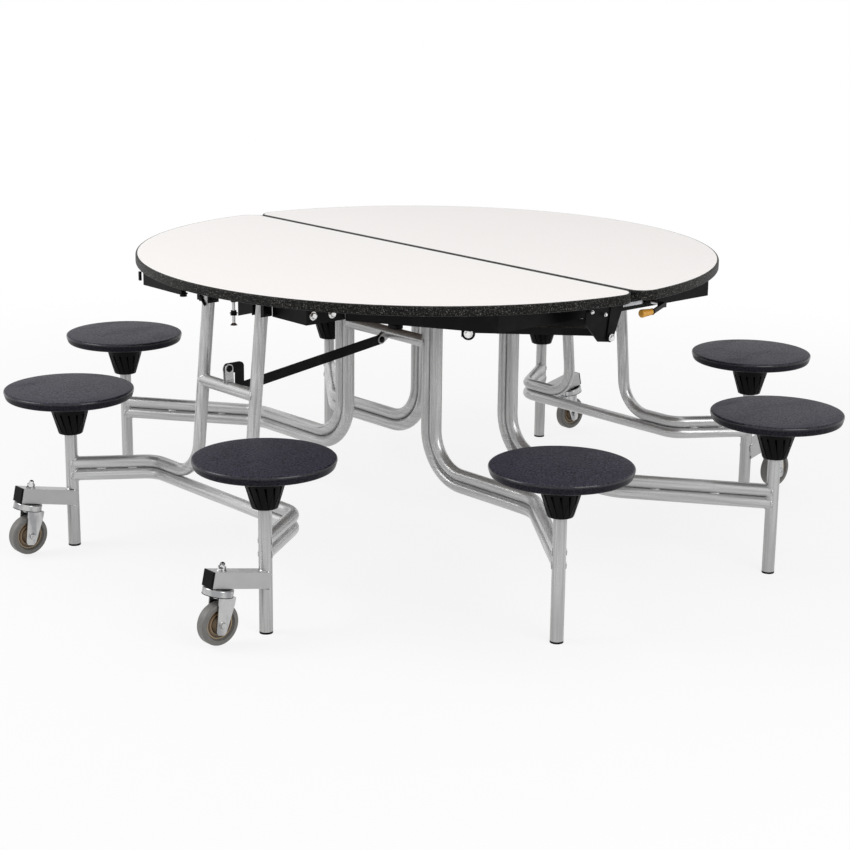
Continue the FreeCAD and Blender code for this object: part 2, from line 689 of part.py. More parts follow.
def seam_plate(low, pinned):
    """A plate that narrows from the underside down to the hinge between the half tops."""
    under = number(UNDERSIDE)
    pin = Vector(low, 0, number(SEAM_PIN_HEIGHT))
    radius = number("2 * pivot_radius")
    near = Vector(low, -number("seam_gap"), under)
    far = Vector(low, -number("seam_plate_width" if pinned else "seam_leaf_width"), under)
    below = pin - Vector(0, 0, radius)
    beyond = pin + Vector(0, radius, 0)
    if pinned:
        shoulder = far - Vector(0, 0, number("seam_shoulder"))
        heel = Vector(low, -number("seam_plate_foot"), below.z + number("seam_heel"))
        turning = pin + Vector(0, radius * math.sqrt(0.5), -radius * math.sqrt(0.5))
        edges = [
            Part.LineSegment(near, far).toShape(),
            Part.LineSegment(far, shoulder).toShape(),
            Part.LineSegment(shoulder, heel).toShape(),
            Part.LineSegment(heel, below).toShape(),
            Part.Arc(below, turning, beyond).toShape(),
            Part.LineSegment(beyond, near).toShape(),
        ]
    else:
        edges = [
            Part.LineSegment(near, far).toShape(),
            Part.LineSegment(far, pin - Vector(0, radius, 0)).toShape(),
            Part.Arc(pin - Vector(0, radius, 0), below, beyond).toShape(),
            Part.LineSegment(beyond, near).toShape(),
        ]
    thick = number("plate_thick")
    plate = Part.Face(Part.Wire(edges)).extrude(Vector(thick, 0, 0))
    room = number("side_room")
    if pinned:
        bolt = eye(pin, number("pivot_radius"), low, 2 * thick + 2 * room)
        head = eye(pin, number("1.6 * pivot_radius"), low + 2 * thick + 2 * room, thick)
        return plate.fuse([bolt, head])
    return plate.cut(eye(pin, number("pivot_radius + pivot_fit"), low - thick, 3 * thick))


def seam_plates(name):
    """One plate with the hinge pin, and one bored for the other half's pin."""
    across = number("seam_plate_across")
    step = number("plate_thick + side_room")
    pinned = feature(f"{name}_pinned", seam_plate(across - step, True))
    return [pinned, feature(f"{name}_bored", seam_plate(-across - number("plate_thick"), False))]


def brackets(label, turned):
    """Every bracket and plate that hangs from a half top."""
    keep(group(label, leg_brackets(label) + seam_plates(label) + latch_seats(label)), label, turned)


def beside(points, distance):
    """A path in plan moved sideways, with mitred corners."""
    moved = []
    for index, point in enumerate(points):
        before = (point - points[max(index - 1, 0)]) if index else (points[1] - point)
        after = (points[index + 1] - point) if index < len(points) - 1 else before
        first = Vector(-before.y, before.x, 0).normalize()
        second = Vector(-after.y, after.x, 0).normalize()
        middle = (first + second).normalize()
        moved.append(point + middle * (distance / middle.dot(first)))
    return moved


def wall(points, width, high):
    """A wall that follows a path in plan, its own width to the left of the path."""
    ring_of = points + beside(points, width)[::-1]
    return Part.Face(Part.makePolygon(ring_of + ring_of[:1])).extrude(Vector(0, 0, high))


def angle_rail(points, depth):
    """A bent steel angle: a deep web and a flange under the top."""
    thick = number("plate_thick")
    low = number(UNDERSIDE) - depth
    web = wall([Vector(point.x, point.y, low) for point in points], thick, depth)
    shelf = wall([Vector(point.x, point.y, low + depth - thick) for point in points],
                 number("rail_flange"), thick)
    return web.fuse(shelf).removeSplitter()


def aprons(label, turned):
    """Bent steel aprons that stiffen the half top, one on each side."""
    depth = number("apron_depth")
    first = [
        spot("channel_end + plate_thick", "apron_inner_out", "0"),
        spot("apron_side_across", "apron_corner_out", "0"),
        spot("apron_side_across", "apron_end_out", "0"),
    ]
    second = [
        spot("-apron_side_across", "apron_end_out", "0"),
        spot("-apron_side_across", "back_corner_out", "0"),
        spot("-back_rail_far", "rail_out", "0"),
        spot("-back_rail_near", "rail_out", "0"),
    ]
    pair = [angle_rail(path, depth) for path in (first, second)]
    keep(feature(label, Part.makeCompound(pair)), label, turned)


def channel():
    """The front channel, open below, with a plate across its end."""
    thick = number("plate_thick")
    depth = number("channel_depth")
    width = number("channel_width")
    length = number("channel_end - channel_start")
    start = spot("channel_start", "channel_out", f"{UNDERSIDE} - channel_depth")
    outer = Part.makeBox(length, width, depth, start)
    inner = Part.makeBox(length, width - 2 * thick, depth - thick, start + Vector(0, thick, 0))
    across = number("channel_out - apron_inner_out - side_room")
    plate = Part.makeBox(thick, across, depth, start + Vector(length, 0, 0))
    return outer.cut(inner).fuse(plate)


def bumpers():
    """A long bumper screw with its cup and nut plate, a gusset beside it, and a short stop screw."""
    thick = number("plate_thick")
    under = number(UNDERSIDE)
    radius = number("bumper_radius")
    thread = number("thread_radius")
    up = Vector(0, 0, 1)
    foot = spot("-bumper_across", "bumper_out", f"{UNDERSIDE} - bumper_drop")
    cup = spot("-bumper_across", "bumper_out", f"{UNDERSIDE} - cup_drop")
    wide = number("channel_width")
    seat_place = spot("-bumper_across", "bumper_out", f"{UNDERSIDE} - seat_drop")
    screw = Part.makeCylinder(thread, under - foot.z, foot).fuse([
        Part.makeCone(radius, thread, number("pad_height"), foot, up),
        Part.makeCone(radius, thread, number("pad_height"), cup, up),
        Part.makeBox(2 * radius, wide, thick, seat_place - Vector(radius, wide / 2, 0)),
    ])
    stop = spot("-stop_across", "stop_out", f"{UNDERSIDE} - stop_drop")
    short = Part.makeCylinder(thread, under - thick - stop.z, stop)
    short = short.fuse(Part.makeCylinder(radius, number("pad_height"), stop))
    near = number("gusset_near")
    far = number("gusset_far")
    out = -number("bumper_out")
    corners = [
        Vector(near, out, under),
        Vector(far, out, under),
        Vector(far, out, under - number("gusset_shallow")),
        Vector(near, out, under - number("gusset_deep")),
    ]
    gusset = Part.Face(Part.makePolygon(corners + corners[:1])).extrude(Vector(0, thick, 0))
    return [screw, short, gusset]


def tie_tube():
    """A square tube from its hanger to the seam plate, and that hanger."""
    thick = number("plate_thick")
    size = number("tie_size")
    bore = size - 2 * thick
    height = f"({UNDERSIDE} - tie_drop)"
    hung_at = spot("tie_across", "tie_out", height)
    end = spot("seam_plate_across", "apron_end_out", height)
    along = (end - hung_at).normalize()
    lower = Vector(0, 0, size / 2)
    outer = wall(beside([hung_at - lower, end - lower], -size / 2), size, size)
    lower = Vector(0, 0, bore / 2)
    inner = wall(beside([hung_at - lower, end - lower], -bore / 2), bore, bore)
    face = number("seam_plate_across - plate_thick - side_room")
    plate_face = Vector(face, end.y - 2 * size, end.z - 2 * size)
    beyond = Part.makeBox(4 * size, 4 * size, 4 * size, plate_face)
    low = hung_at - Vector(0, 0, size)
    hanger = wall(beside([low - along * thick, low], -0.8 * size), 1.6 * size, number(UNDERSIDE) - low.z)
    return [outer.cut(inner).cut(beyond), hanger]


def rails(label, turned):
    """The front channel, the bumpers, and the tie tube to the seam plate."""
    keep(feature(label, Part.makeCompound([channel()] + bumpers() + tie_tube())), label, turned)


# ---- latch ---------------------------------------------------------------------------------------

def latch(label, turned):
    """Shaft, hook and lever arm of the seam latch, under the left side of the half top."""
    shaft = spot("-latch_inner", "latch_out", LATCH_HEIGHT)
    radius = number("latch_radius")
    length = number("latch_outer - latch_inner")
    shaft_rod = Part.makeCylinder(radius, length, shaft, Vector(-1, 0, 0))
    hook_start = spot("-hook_across", "latch_out", LATCH_HEIGHT)
    hook_end = Vector(hook_start.x, number("hook_past"), hook_start.z)
    thick = number("2 * plate_thick")
    hook = strap(hook_start, hook_end, number("hook_half"), hook_start.x - thick, thick)
    loop = eye(hook_start, number("latch_radius + hook_rim"), hook_start.x - thick, thick)
    arm_start = spot("-latch_outer", "latch_out", LATCH_HEIGHT)
    reach = number("lever_reach - grip_length / 2 - latch_radius")
    arm_end = arm_start + Vector(0, reach, -number("lever_drop"))
    arm = strap(arm_start, arm_end, radius, arm_start.x, thick)
    keep(feature(label, shaft_rod.fuse([hook, loop, arm])), label, turned)


def latch_grip(label, turned):
    """The grip on the lever arm, thicker toward its free end."""
    body = new_body(f"{label}_turned")
    sketch = sketch_on(body, "XZ_Plane")
    outline(sketch, [
        ("0", "0"),
        ("0.7 * grip_radius", "0"),
        ("grip_radius", "grip_length"),
        ("0", "grip_length"),
    ])
    turned_grip = revolve(body, sketch)
    rounded(body, turned_grip, "grip_radius / 3", lambda edge: edge.Closed)
    body.Placement = Placement(Vector(), Rotation(Vector(1, 0, 0), -90))
    place(body, ("-latch_outer + plate_thick", "-latch_out + lever_reach - grip_length / 2",
                 f"{LATCH_HEIGHT} - lever_drop"))
    keep(group(f"{label}_piece", [body]), label, turned)


def latch_seats(name):
    """Two hangers for the latch shaft and, at the other end of the seam, the latch's striker."""
    pieces = []
    for across in ("(hook_across + 3 * plate_thick)", "(latch_outer - 4 * plate_thick)"):
        hanger = block(f"{name}_hanger", (f"-{across} - plate_thick", "-latch_out - 3 * latch_radius",
                                          f"{LATCH_HEIGHT} - 2 * latch_radius"),
                       ("plate_thick", "6 * latch_radius", "latch_drop + 2 * latch_radius"))
        bore = rod(f"{name}_bore", (f"-{across} - 2 * plate_thick", "-latch_out", LATCH_HEIGHT),
                   "latch_radius + pivot_fit", "4 * plate_thick", "x")
        pieces.append(cut(f"{name}_seat", hanger, bore))
    low = f"({UNDERSIDE} - striker_drop)"
    start = "(hook_across + plate_thick - striker_long / 2)"
    bar = rod(f"{name}_striker", (start, "-striker_out", low), "0.8 * latch_radius", "striker_long", "x")
    ears = []
    for shift in ("-plate_thick", "striker_long"):
        ears.append(block(f"{name}_ear", (f"{start} + {shift}", "-striker_out - ear_size / 2",
                                          f"{low} - 1.2 * latch_radius"),
                          ("plate_thick", "ear_size", "striker_drop + 1.2 * latch_radius")))
    return pieces + [fuse(f"{name}_keeper", ears + [bar])]


# ---- caster arms and casters ---------------------------------------------------------------------

def arm_turn():
    return Rotation(Vector(1, 0, 0), -number("arm_pitch"))


def caster_arms(label, turned):
    """Square arms that rise from the rim posts, each with its caster's stem and nut."""
    pieces = []
    for side in (1, -1):
        size = number("arm_size")
        bore = size - 2 * number("arm_wall")
        length = number("arm_length")
        arm = Part.makeBox(size, length, size, Vector(-size / 2, -length, -size / 2))
        arm = arm.cut(Part.makeBox(bore, length, bore, Vector(-bore / 2, -length, -bore / 2)))
        stem_at = Vector(0, -number("stem_out"), 0)
        hole = number("stem_radius")
        arm = arm.cut(Part.makeCylinder(hole, 2 * size, stem_at - Vector(0, 0, size)))
        low = number("arm_size / 2 + head_gap + head_height + crown_thick")
        stand = size / 2 + number("cap_stand")
        stem = Part.makeCylinder(hole, low + stand, stem_at - Vector(0, 0, low))
        dome = Part.makeSphere(hole, stem_at + Vector(0, 0, stand))
        flat = number("washer_thick")
        washer = Part.makeCylinder(1.9 * hole, flat, stem_at + Vector(0, 0, size / 2))
        corner = Vector(1.5 * hole, 0, size / 2 + flat)
        hexagon = [stem_at + Rotation(Vector(0, 0, 1), 60 * step).multVec(corner) for step in range(7)]
        cap = Part.Face(Part.makePolygon(hexagon)).extrude(Vector(0, 0, number("cap_height")))
        keeper = number("retainer_thick")
        retainer = Part.makeCylinder(1.5 * hole, keeper, stem_at - Vector(0, 0, low + keeper))
        bolt = stem.fuse([dome, washer, cap, retainer])
        foot = Vector(side * number("rim_post_across"), -number("rim_post_out"), number("arm_height"))
        seat = Placement(foot, arm_turn())
        arm.Placement = seat
        bolt.Placement = seat
        pieces += [coped(arm, foot), bolt]
    keep(feature(label, Part.makeCompound(pieces)), label, turned)


def end_plugs(label, turned):
    """Square plugs that close the outer ends of the arms."""
    pieces = []
    for side in (1, -1):
        size = number("arm_size")
        bore = size - 2 * number("arm_wall")
        length = number("arm_length")
        thick = number("plug_thick")
        cap = Part.makeBox(size, thick, size, Vector(-size / 2, -length - thick, -size / 2))
        outside = [edge for edge in cap.Edges if edge.CenterOfMass.y < -length - 0.8 * thick]
        cap = cap.makeFillet(thick / 2, outside)
        inside = Part.makeBox(bore, 3 * thick, bore, Vector(-bore / 2, -length, -bore / 2))
        plug = cap.fuse(inside)
        foot = Vector(side * number("rim_post_across"), -number("rim_post_out"), number("arm_height"))
        plug.Placement = Placement(foot, arm_turn())
        pieces.append(plug)
    keep(feature(label, Part.makeCompound(pieces)), label, turned)


def caster_frame(side, turned):
    """The place of a caster's own frame: origin on the arm's axis, Z up its stem."""
    out = number("rim_post_out") + number("stem_out") * math.cos(math.radians(number("arm_pitch")))
    height = number("arm_height") + number("stem_out") * math.sin(math.radians(number("arm_pitch")))
    near = Placement(Vector(side * number("rim_post_across"), -out, height), arm_turn())
    return Placement(Vector(), Rotation(Vector(0, 0, 1), 180 if turned else 0)) * near


def caster_fork(label, side, turned):
    """Swivel head and fork, pressed from one plate, with the wheel's axle."""
    body = new_body(f"{label}_plate")
    crown = "-(arm_size / 2 + head_gap)"
    legs = sketch_on(body, "YZ_Plane", "-(wheel_width / 2 + fork_gap + plate_thick)")
    outline(legs, [
        ("wheel_trail - fork_lead", f"{crown} - head_height + 1"),
        ("wheel_trail + fork_tail", f"{crown} - head_height + 1"),
        ("wheel_trail + fork_tail", "-wheel_drop + fork_neck"),
        ("wheel_trail + fork_toe", "-wheel_drop - fork_below + fork_toe / 2"),
        ("wheel_trail + 0.6 * fork_toe", "-wheel_drop - fork_below"),
        ("wheel_trail - 0.6 * fork_toe", "-wheel_drop - fork_below"),
        ("wheel_trail - fork_toe", "-wheel_drop - fork_below + fork_toe / 2"),
    ])
    blank = pad(body, legs, "wheel_width + 2 * fork_gap + 2 * plate_thick")
    rounded(body, blank, "axle_radius", lambda edge: abs(edge.Vertexes[0].X - edge.Vertexes[-1].X) > 1)
    slot = sketch_on(body, "XZ_Plane", "-2 * head_radius")
    reach = "(wheel_width / 2 + fork_gap)"
    outline(slot, [
        (f"-{reach}", f"{crown} - head_height - crown_thick"),
        (reach, f"{crown} - head_height - crown_thick"),
        (reach, "-wheel_drop - 2 * fork_below"),
        (f"-{reach}", "-wheel_drop - 2 * fork_below"),
    ])
    pocket(body, slot, "4 * head_radius", True)
    head = sketch_on(body, "XY_Plane", f"{crown} - head_height")
    ring(head, ("0", "0"), "head_radius")
    disc = pad(body, head, "head_height")
    high = number(crown) - 1
    rounded(body, disc, "crown_thick", lambda edge: edge.Closed and edge.CenterOfMass.z > high)
    dish = sketch_on(body, "XY_Plane", crown)
    ring(dish, ("0", "0"), "head_radius - 2 * crown_thick")
    pocket(body, dish, "crown_thick")
    bore = sketch_on(body, "XY_Plane", crown)
    ring(bore, ("0", "0"), "stem_radius + pivot_fit")
    pocket(body, bore, "head_radius")
    face = "(wheel_width / 2 + fork_gap + plate_thick)"
    start = f"-({face} + nut_thick)"
    axle = rod(f"{label}_axle", (start, "wheel_trail", "-wheel_drop"), "axle_radius",
               f"2 * ({face} + nut_thick)", "x")
    nuts = [nut(f"{label}_nut", (place_at, "wheel_trail", "-wheel_drop"), "nut_width", "nut_thick", "x")
            for place_at in (start, face)]
    hole = rod(f"{label}_hole", (start, "wheel_trail", "-wheel_drop"), "axle_radius + pivot_fit",
               f"2 * ({face} + nut_thick)", "x")
    item = group(f"{label}_pieces", [cut(f"{label}_bored", body, hole), fuse(f"{label}_bolt", [axle] + nuts)])
    item.Placement = caster_frame(side, turned)
    keep(item, label)


def caster_wheel(label, side, turned):
    """A moulded wheel: a round-shouldered tread and a dished hub."""
    body = new_body(f"{label}_disc")
    sketch = sketch_on(body, "XZ_Plane")
    outline(sketch, [
        ("axle_radius + pivot_fit", "-wheel_width / 2"),
        ("0.3 * wheel_radius", "-wheel_width / 2"),
        ("0.4 * wheel_radius", "-wheel_width / 4"),
        ("0.7 * wheel_radius", "-wheel_width / 4"),
        ("0.76 * wheel_radius", "-wheel_width / 2 + 1"),
        ("wheel_radius", "-wheel_width / 2 + 1"),
        ("wheel_radius", "wheel_width / 2 - 1"),
        ("0.76 * wheel_radius", "wheel_width / 2 - 1"),
        ("0.7 * wheel_radius", "wheel_width / 4"),
        ("0.4 * wheel_radius", "wheel_width / 4"),
        ("0.3 * wheel_radius", "wheel_width / 2"),
        ("axle_radius + pivot_fit", "wheel_width / 2"),
    ])
    disc = revolve(body, sketch)
    reach = number("wheel_radius") - 0.1
    rounded(body, disc, "wheel_width / 5", lambda edge: edge.Closed and edge.BoundBox.XMax > reach)
    body.Placement = Placement(Vector(), AXIS_TURNS["x"])
    place(body, ("0", "wheel_trail", "-wheel_drop"))
    item = group(f"{label}_pieces", [body])
    item.Placement = caster_frame(side, turned)
    keep(item, label)


# ---- stools --------------------------------------------------------------------------------------

def seat(label, across, out):
    """A moulded seat with a soft rim and a slight crown."""
    body = new_body(f"{label}_disc")
    sketch = sketch_on(body, "XZ_Plane")
    outline(sketch, [
        ("0", "seat_height - seat_thick"),
        ("seat_radius", "seat_height - seat_thick"),
        ("seat_radius", "seat_height"),
        ("0.6 * seat_radius", "seat_height + 0.8 * seat_crown"),
        ("0", "seat_height + seat_crown"),
    ])
    disc = revolve(body, sketch)
    reach = number("seat_radius") - 0.1
    rounded(body, disc, "seat_thick / 3", lambda edge: edge.Closed and edge.BoundBox.XMax > reach)
    place(body, (across, out, "0"))
    keep(group(f"{label}_piece", [body]), label)


def hub(label, across, out):
    """The many-sided cone that carries a seat on its post."""
    sections = []
    for share, radius in (("0", "hub_low_radius"), ("0.6", "0.3 * hub_low_radius + 0.7 * hub_high_radius"),
                          ("1", "hub_high_radius")):
        polygon = doc.addObject("Part::RegularPolygon", f"{label}_section")
        tie(polygon, "Polygon", "hub_flats")
        tie(polygon, "Circumradius", radius)
        place(polygon, (across, out, f"seat_height - seat_thick - hub_height * (1 - {share})"))
        sections.append(polygon)
    cone_of = doc.addObject("Part::Loft", f"{label}_cone")
    cone_of.Sections = sections
    cone_of.Solid = True
    cone_of.Ruled = True
    low = "(seat_height - seat_thick - hub_height)"
    bore = rod(f"{label}_bore", (across, out, f"{low} - 1"), "tube_radius + hub_fit",
               f"{POST_TOP} + thrust_gap - {low} + 1")
    keep(cut(f"{label}_bored", cone_of, bore), label)


# ---- the whole table -----------------------------------------------------------------------------

for side_name, is_far in (("near", False), ("far", True)):
    top_board(f"{side_name}_top_board", is_far)
    top_edge(f"{side_name}_top_edge", is_far)
    aprons(f"{side_name}_aprons", is_far)
    rails(f"{side_name}_rails", is_far)
    brackets(f"{side_name}_brackets", is_far)
    latch(f"{side_name}_latch", is_far)
    latch_grip(f"{side_name}_latch_grip", is_far)
    rim_lower_tube(f"{side_name}_rim_lower_tube", is_far)
    rim_upper_tubes(f"{side_name}_rim_upper_tubes", is_far)
    posts(f"{side_name}_rim_posts", is_far, "rim_post_across", "rim_post_out")
    glides(f"{side_name}_rim_glides", is_far, "rim_post_across", "rim_post_out")
    caster_arms(f"{side_name}_caster_arms", is_far)
    end_plugs(f"{side_name}_end_plugs", is_far)
    centre_tubes(f"{side_name}_centre_lower_tubes", is_far, True)
    centre_tubes(f"{side_name}_centre_upper_tubes", is_far, False)
    posts(f"{side_name}_centre_posts", is_far, "mid_post_across", "mid_post_out")
    glides(f"{side_name}_centre_glides", is_far, "mid_post_across", "mid_post_out")
    brace(f"{side_name}_brace", is_far)
    back = "" if is_far else "-"
    for hand, sign in (("right", 1), ("left", -1)):
        minus = "-" if (sign < 0) != is_far else ""
        for frame, across, out in (("rim", "rim_post_across", "rim_post_out"),
                                   ("centre", "mid_post_across", "mid_post_out")):
            seat(f"{side_name}_{frame}_{hand}_seat", f"{minus}{across}", f"{back}{out}")
            hub(f"{side_name}_{frame}_{hand}_hub", f"{minus}{across}", f"{back}{out}")
        caster_fork(f"{side_name}_{hand}_caster_fork", sign, is_far)
        caster_wheel(f"{side_name}_{hand}_caster_wheel", sign, is_far)

doc.recompute()

failed = [item.Name for item in doc.Objects if {"Invalid", "Error"} & set(item.State)]
if failed:
    raise RuntimeError(f"failed objects: {failed}")
for item in nodes:
    if item.Shape.isNull() or not item.Shape.isValid():
        raise RuntimeError(f"bad shape: {item.Label}")

os.makedirs("parts", exist_ok=True)
for item in nodes:
    item.Shape.exportStep(f"parts/{item.Label}.step")
    box = item.Shape.BoundBox
    spans = ((box.XMin, box.XMax), (box.YMin, box.YMax), (box.ZMin, box.ZMax))
    extents = ", ".join(f"{low:.1f} to {high:.1f}" for low, high in spans)
    print(f"{item.Label}: {len(item.Shape.Solids)} solids, {item.Shape.Volume / 1000:.1f} cm3, {extents}")
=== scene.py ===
import json
import math
import bpy
import bmesh
from mathutils import Matrix, Vector


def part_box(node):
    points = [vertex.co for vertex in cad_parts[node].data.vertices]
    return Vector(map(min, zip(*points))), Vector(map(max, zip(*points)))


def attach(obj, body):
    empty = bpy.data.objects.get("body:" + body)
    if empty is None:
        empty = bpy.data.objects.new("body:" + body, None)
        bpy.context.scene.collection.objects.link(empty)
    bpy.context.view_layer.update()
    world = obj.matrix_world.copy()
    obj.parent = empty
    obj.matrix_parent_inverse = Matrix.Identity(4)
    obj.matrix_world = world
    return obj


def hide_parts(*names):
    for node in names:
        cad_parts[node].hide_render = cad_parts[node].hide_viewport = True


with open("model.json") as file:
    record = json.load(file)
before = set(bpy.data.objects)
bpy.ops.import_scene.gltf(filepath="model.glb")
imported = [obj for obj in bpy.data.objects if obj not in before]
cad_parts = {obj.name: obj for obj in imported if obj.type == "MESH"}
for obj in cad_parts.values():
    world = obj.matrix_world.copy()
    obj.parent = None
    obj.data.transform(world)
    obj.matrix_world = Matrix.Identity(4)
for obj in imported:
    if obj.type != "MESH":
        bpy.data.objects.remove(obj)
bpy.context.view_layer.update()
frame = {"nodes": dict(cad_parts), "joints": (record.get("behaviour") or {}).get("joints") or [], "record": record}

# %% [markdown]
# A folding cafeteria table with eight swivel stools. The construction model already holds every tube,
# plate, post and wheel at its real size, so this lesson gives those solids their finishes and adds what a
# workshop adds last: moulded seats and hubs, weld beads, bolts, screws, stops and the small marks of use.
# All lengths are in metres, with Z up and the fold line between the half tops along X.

record = frame["record"]
nodes = frame["nodes"]
joints = {joint["name"]: joint for joint in frame["joints"]}
HALF_TURN = Matrix.Rotation(math.pi, 4, "Z")
HALVES = (("near", Matrix.Identity(4)), ("far", HALF_TURN))
print("solids:", len(nodes), "joints:", len(joints))

# %% [markdown]
# Before the looks comes the view. The camera stands at eye height, off one corner, with a long lens, as
# for a catalogue picture. Its rotation is built from three angles: how far round the table it stands, how
# steeply it looks down, and a touch of roll.

# %% Camera
AZIMUTH = math.radians(48.47)
DOWNWARD = math.radians(14.96)
ROLL = math.radians(-0.64)
CAMERA_PLACE = Vector((3.8221, -3.3861, 1.6294))
SENSOR = 36.0
FOCAL_SHARE = 1957.06 / 850

camera_data = bpy.data.cameras.new("camera")
camera_data.sensor_width = SENSOR
camera_data.lens = FOCAL_SHARE * SENSOR
camera_data.clip_end = 60
camera = bpy.data.objects.new("camera", camera_data)
bpy.context.scene.collection.objects.link(camera)
turn_round = Matrix.Rotation(AZIMUTH, 4, "Z")
look_down = Matrix.Rotation(math.pi / 2 - DOWNWARD, 4, "X")
roll_over = Matrix.Rotation(-ROLL, 4, "Z")
camera.matrix_world = Matrix.Translation(CAMERA_PLACE) @ turn_round @ look_down @ roll_over
bpy.context.scene.camera = camera
print("lens", round(camera_data.lens, 2), "mm")

# %% [markdown]
# Every finish below is a small formula, so the shader maths is written as Python. A `Socket` wraps an
# output of a node, and `+`, `-`, `*`, `>` and `abs` on it add the Math node that does the sum. Anything
# that isn't plain arithmetic, such as noise or a bump, comes from `Finish.node`, which sets a node's own
# settings first and then its inputs.

# %% A small language for materials
def add_node(tree, kind, settings=None, inputs=None):
    """Adds a node, makes its own settings, then links or sets its inputs."""
    item = tree.nodes.new(kind)
    for key, value in (settings or {}).items():
        setattr(item, key, value)
    for key, value in (inputs or {}).items():
        if isinstance(value, bpy.types.NodeSocket):
            tree.links.new(value, item.inputs[key])
        else:
            item.inputs[key].default_value = value
    return item


class Socket:
    """One output of a node, which can be reckoned with."""

    def __init__(self, finish, output):
        self.finish = finish
        self.output = output

    def sum(self, kind, first, second):
        return self.finish.node("ShaderNodeMath", {"operation": kind}, {0: first, 1: second})

    def __add__(self, other):
        return self.sum("ADD", self, other)

    def __radd__(self, other):
        return self.sum("ADD", other, self)

    def __sub__(self, other):
        return self.sum("SUBTRACT", self, other)

    def __rsub__(self, other):
        return self.sum("SUBTRACT", other, self)

    def __mul__(self, other):
        return self.sum("MULTIPLY", self, other)

    def __gt__(self, other):
        return self.sum("GREATER_THAN", self, other)

    def __abs__(self):
        return self.finish.node("ShaderNodeMath", {"operation": "ABSOLUTE"}, {0: self})

    def off_axis(self, other):
        """How far a point lies from an axis, from its two distances square to it."""
        return self.finish.node("ShaderNodeMath", {"operation": "SQRT"}, {0: self * self + other * other})


class Finish:
    """A material under construction, with its one Principled shader."""

    def __init__(self, name, color, roughness, metallic=0.0, **steady):
        self.material = bpy.data.materials.new(name)
        self.material.use_nodes = True
        self.tree = self.material.node_tree
        self.shader = self.tree.nodes["Principled BSDF"]
        self.set("Base Color", (*color, 1))
        self.set("Roughness", roughness)
        self.set("Metallic", metallic)
        for socket, value in steady.items():
            self.set(socket.replace("_", " "), value)
        self.place = self.node("ShaderNodeTexCoord", output="Object")

    def set(self, socket, value):
        if isinstance(value, Socket):
            self.tree.links.new(value.output, self.shader.inputs[socket])
        else:
            self.shader.inputs[socket].default_value = value

    def node(self, kind, settings=None, inputs=None, output=0):
        plain = {key: value.output if isinstance(value, Socket) else value
                 for key, value in (inputs or {}).items()}
        return Socket(self, add_node(self.tree, kind, settings, plain).outputs[output])

    def noise(self, size, detail=3.0, stretch=(1, 1, 1)):
        """Noise whose grains are about `size` metres across."""
        scaled = self.node("ShaderNodeMapping", inputs={"Vector": self.place, "Scale": stretch})
        return self.node("ShaderNodeTexNoise",
                         inputs={"Vector": scaled, "Scale": 1 / size, "Detail": detail})

    def pebbles(self, size):
        """Rounded cells, darker at their rims, about `size` metres across."""
        return self.node("ShaderNodeTexVoronoi", {"feature": "SMOOTH_F1"},
                         {"Vector": self.place, "Scale": 1 / size, "Smoothness": 0.5})

    def between(self, value, low, high):
        """Stretches a value so that low becomes 0 and high becomes 1, with no overshoot."""
        return self.node("ShaderNodeMapRange", inputs={0: value, 1: low, 2: high})

    def blend(self, share, first, second):
        """Mixes two colours; the share of the second is a socket."""
        colours = [(*c, 1) if isinstance(c, tuple) else c for c in (first, second)]
        return self.node("ShaderNodeMix", {"data_type": "RGBA"},
                         {0: share, 6: colours[0], 7: colours[1]}, output=2)

    def along(self, axis):
        """One coordinate of the object."""
        return self.node("ShaderNodeSeparateXYZ", inputs={0: self.place}, output=axis)

    def bump(self, height, depth):
        """Raises the surface by the height, `depth` metres at most."""
        self.set("Normal", self.node("ShaderNodeBump",
                                     inputs={"Height": height, "Distance": depth, "Strength": 1.0}))


print("shader language ready")

# %% [markdown]
# The frames are powder coated in a metallic grey. The coat is neither mirror nor chalk. Pale and dark
# stripes along each tube are painted into its colour: painted reflections of the lamps, light and dark,
# as round tubes show them. The same stripes also vary its roughness and bumps. It dulls a little where
# shoes rub it near the floor.
# Streaks follow the tube, so uprights stretch the noise along Z and level tubes stretch it the other way.
# A bent tube does both, and changes over at the height of its bend. Between the uprights run only level
# cross tubes.

# %% Metallic grey powder coat
BEND_HEIGHT = 0.262
BEND_FADE = 0.03
STREAK = 0.0052
DRAWN_OUT = 0.03
RIM_INNER = 0.0936
CENTRE_INNER = 0.1452


def make_frame_coat(name, upright, level, low=0.385, high=0.565, inner=0.0):
    """Streaks follow the tubes; within `inner` of the middle there are only level ones."""
    coat = Finish(name, (0.47, 0.47, 0.47), 0.3, 0.55)
    flakes = coat.noise(0.0009, 2.0)
    standing = coat.noise(STREAK, 2.0, (1, 1, DRAWN_OUT))
    lying = coat.noise(STREAK, 2.0, (DRAWN_OUT, DRAWN_OUT, 1))
    if upright and level:
        above = coat.between(coat.along("Z"), BEND_HEIGHT - BEND_FADE, BEND_HEIGHT + BEND_FADE)
        above = above * coat.between(abs(coat.along("X")), inner - 0.002, inner)
        streaks_and_highlights = lying + above * (standing - lying)
    else:
        streaks_and_highlights = standing if upright else lying
    streaks_and_highlights = coat.between(streaks_and_highlights, 0.36, 0.66)
    dust = coat.between(coat.along("Z"), 0.16, 0.0) * coat.noise(0.012, 4.0)
    # The stripes lighten and darken the colour along each tube: painted highlights, the reflections of the lamps.
    base = coat.blend(streaks_and_highlights * 0.8 + flakes * 0.2, (low, low, low), (high, high, high))
    coat.set("Base Color", coat.blend(dust * 0.4, base, (0.33, 0.325, 0.315)))
    coat.set("Roughness", 0.36 - streaks_and_highlights * 0.14 + dust * 0.2)
    coat.bump(flakes * 0.3 + streaks_and_highlights * 0.7, 0.00012)
    return coat.material


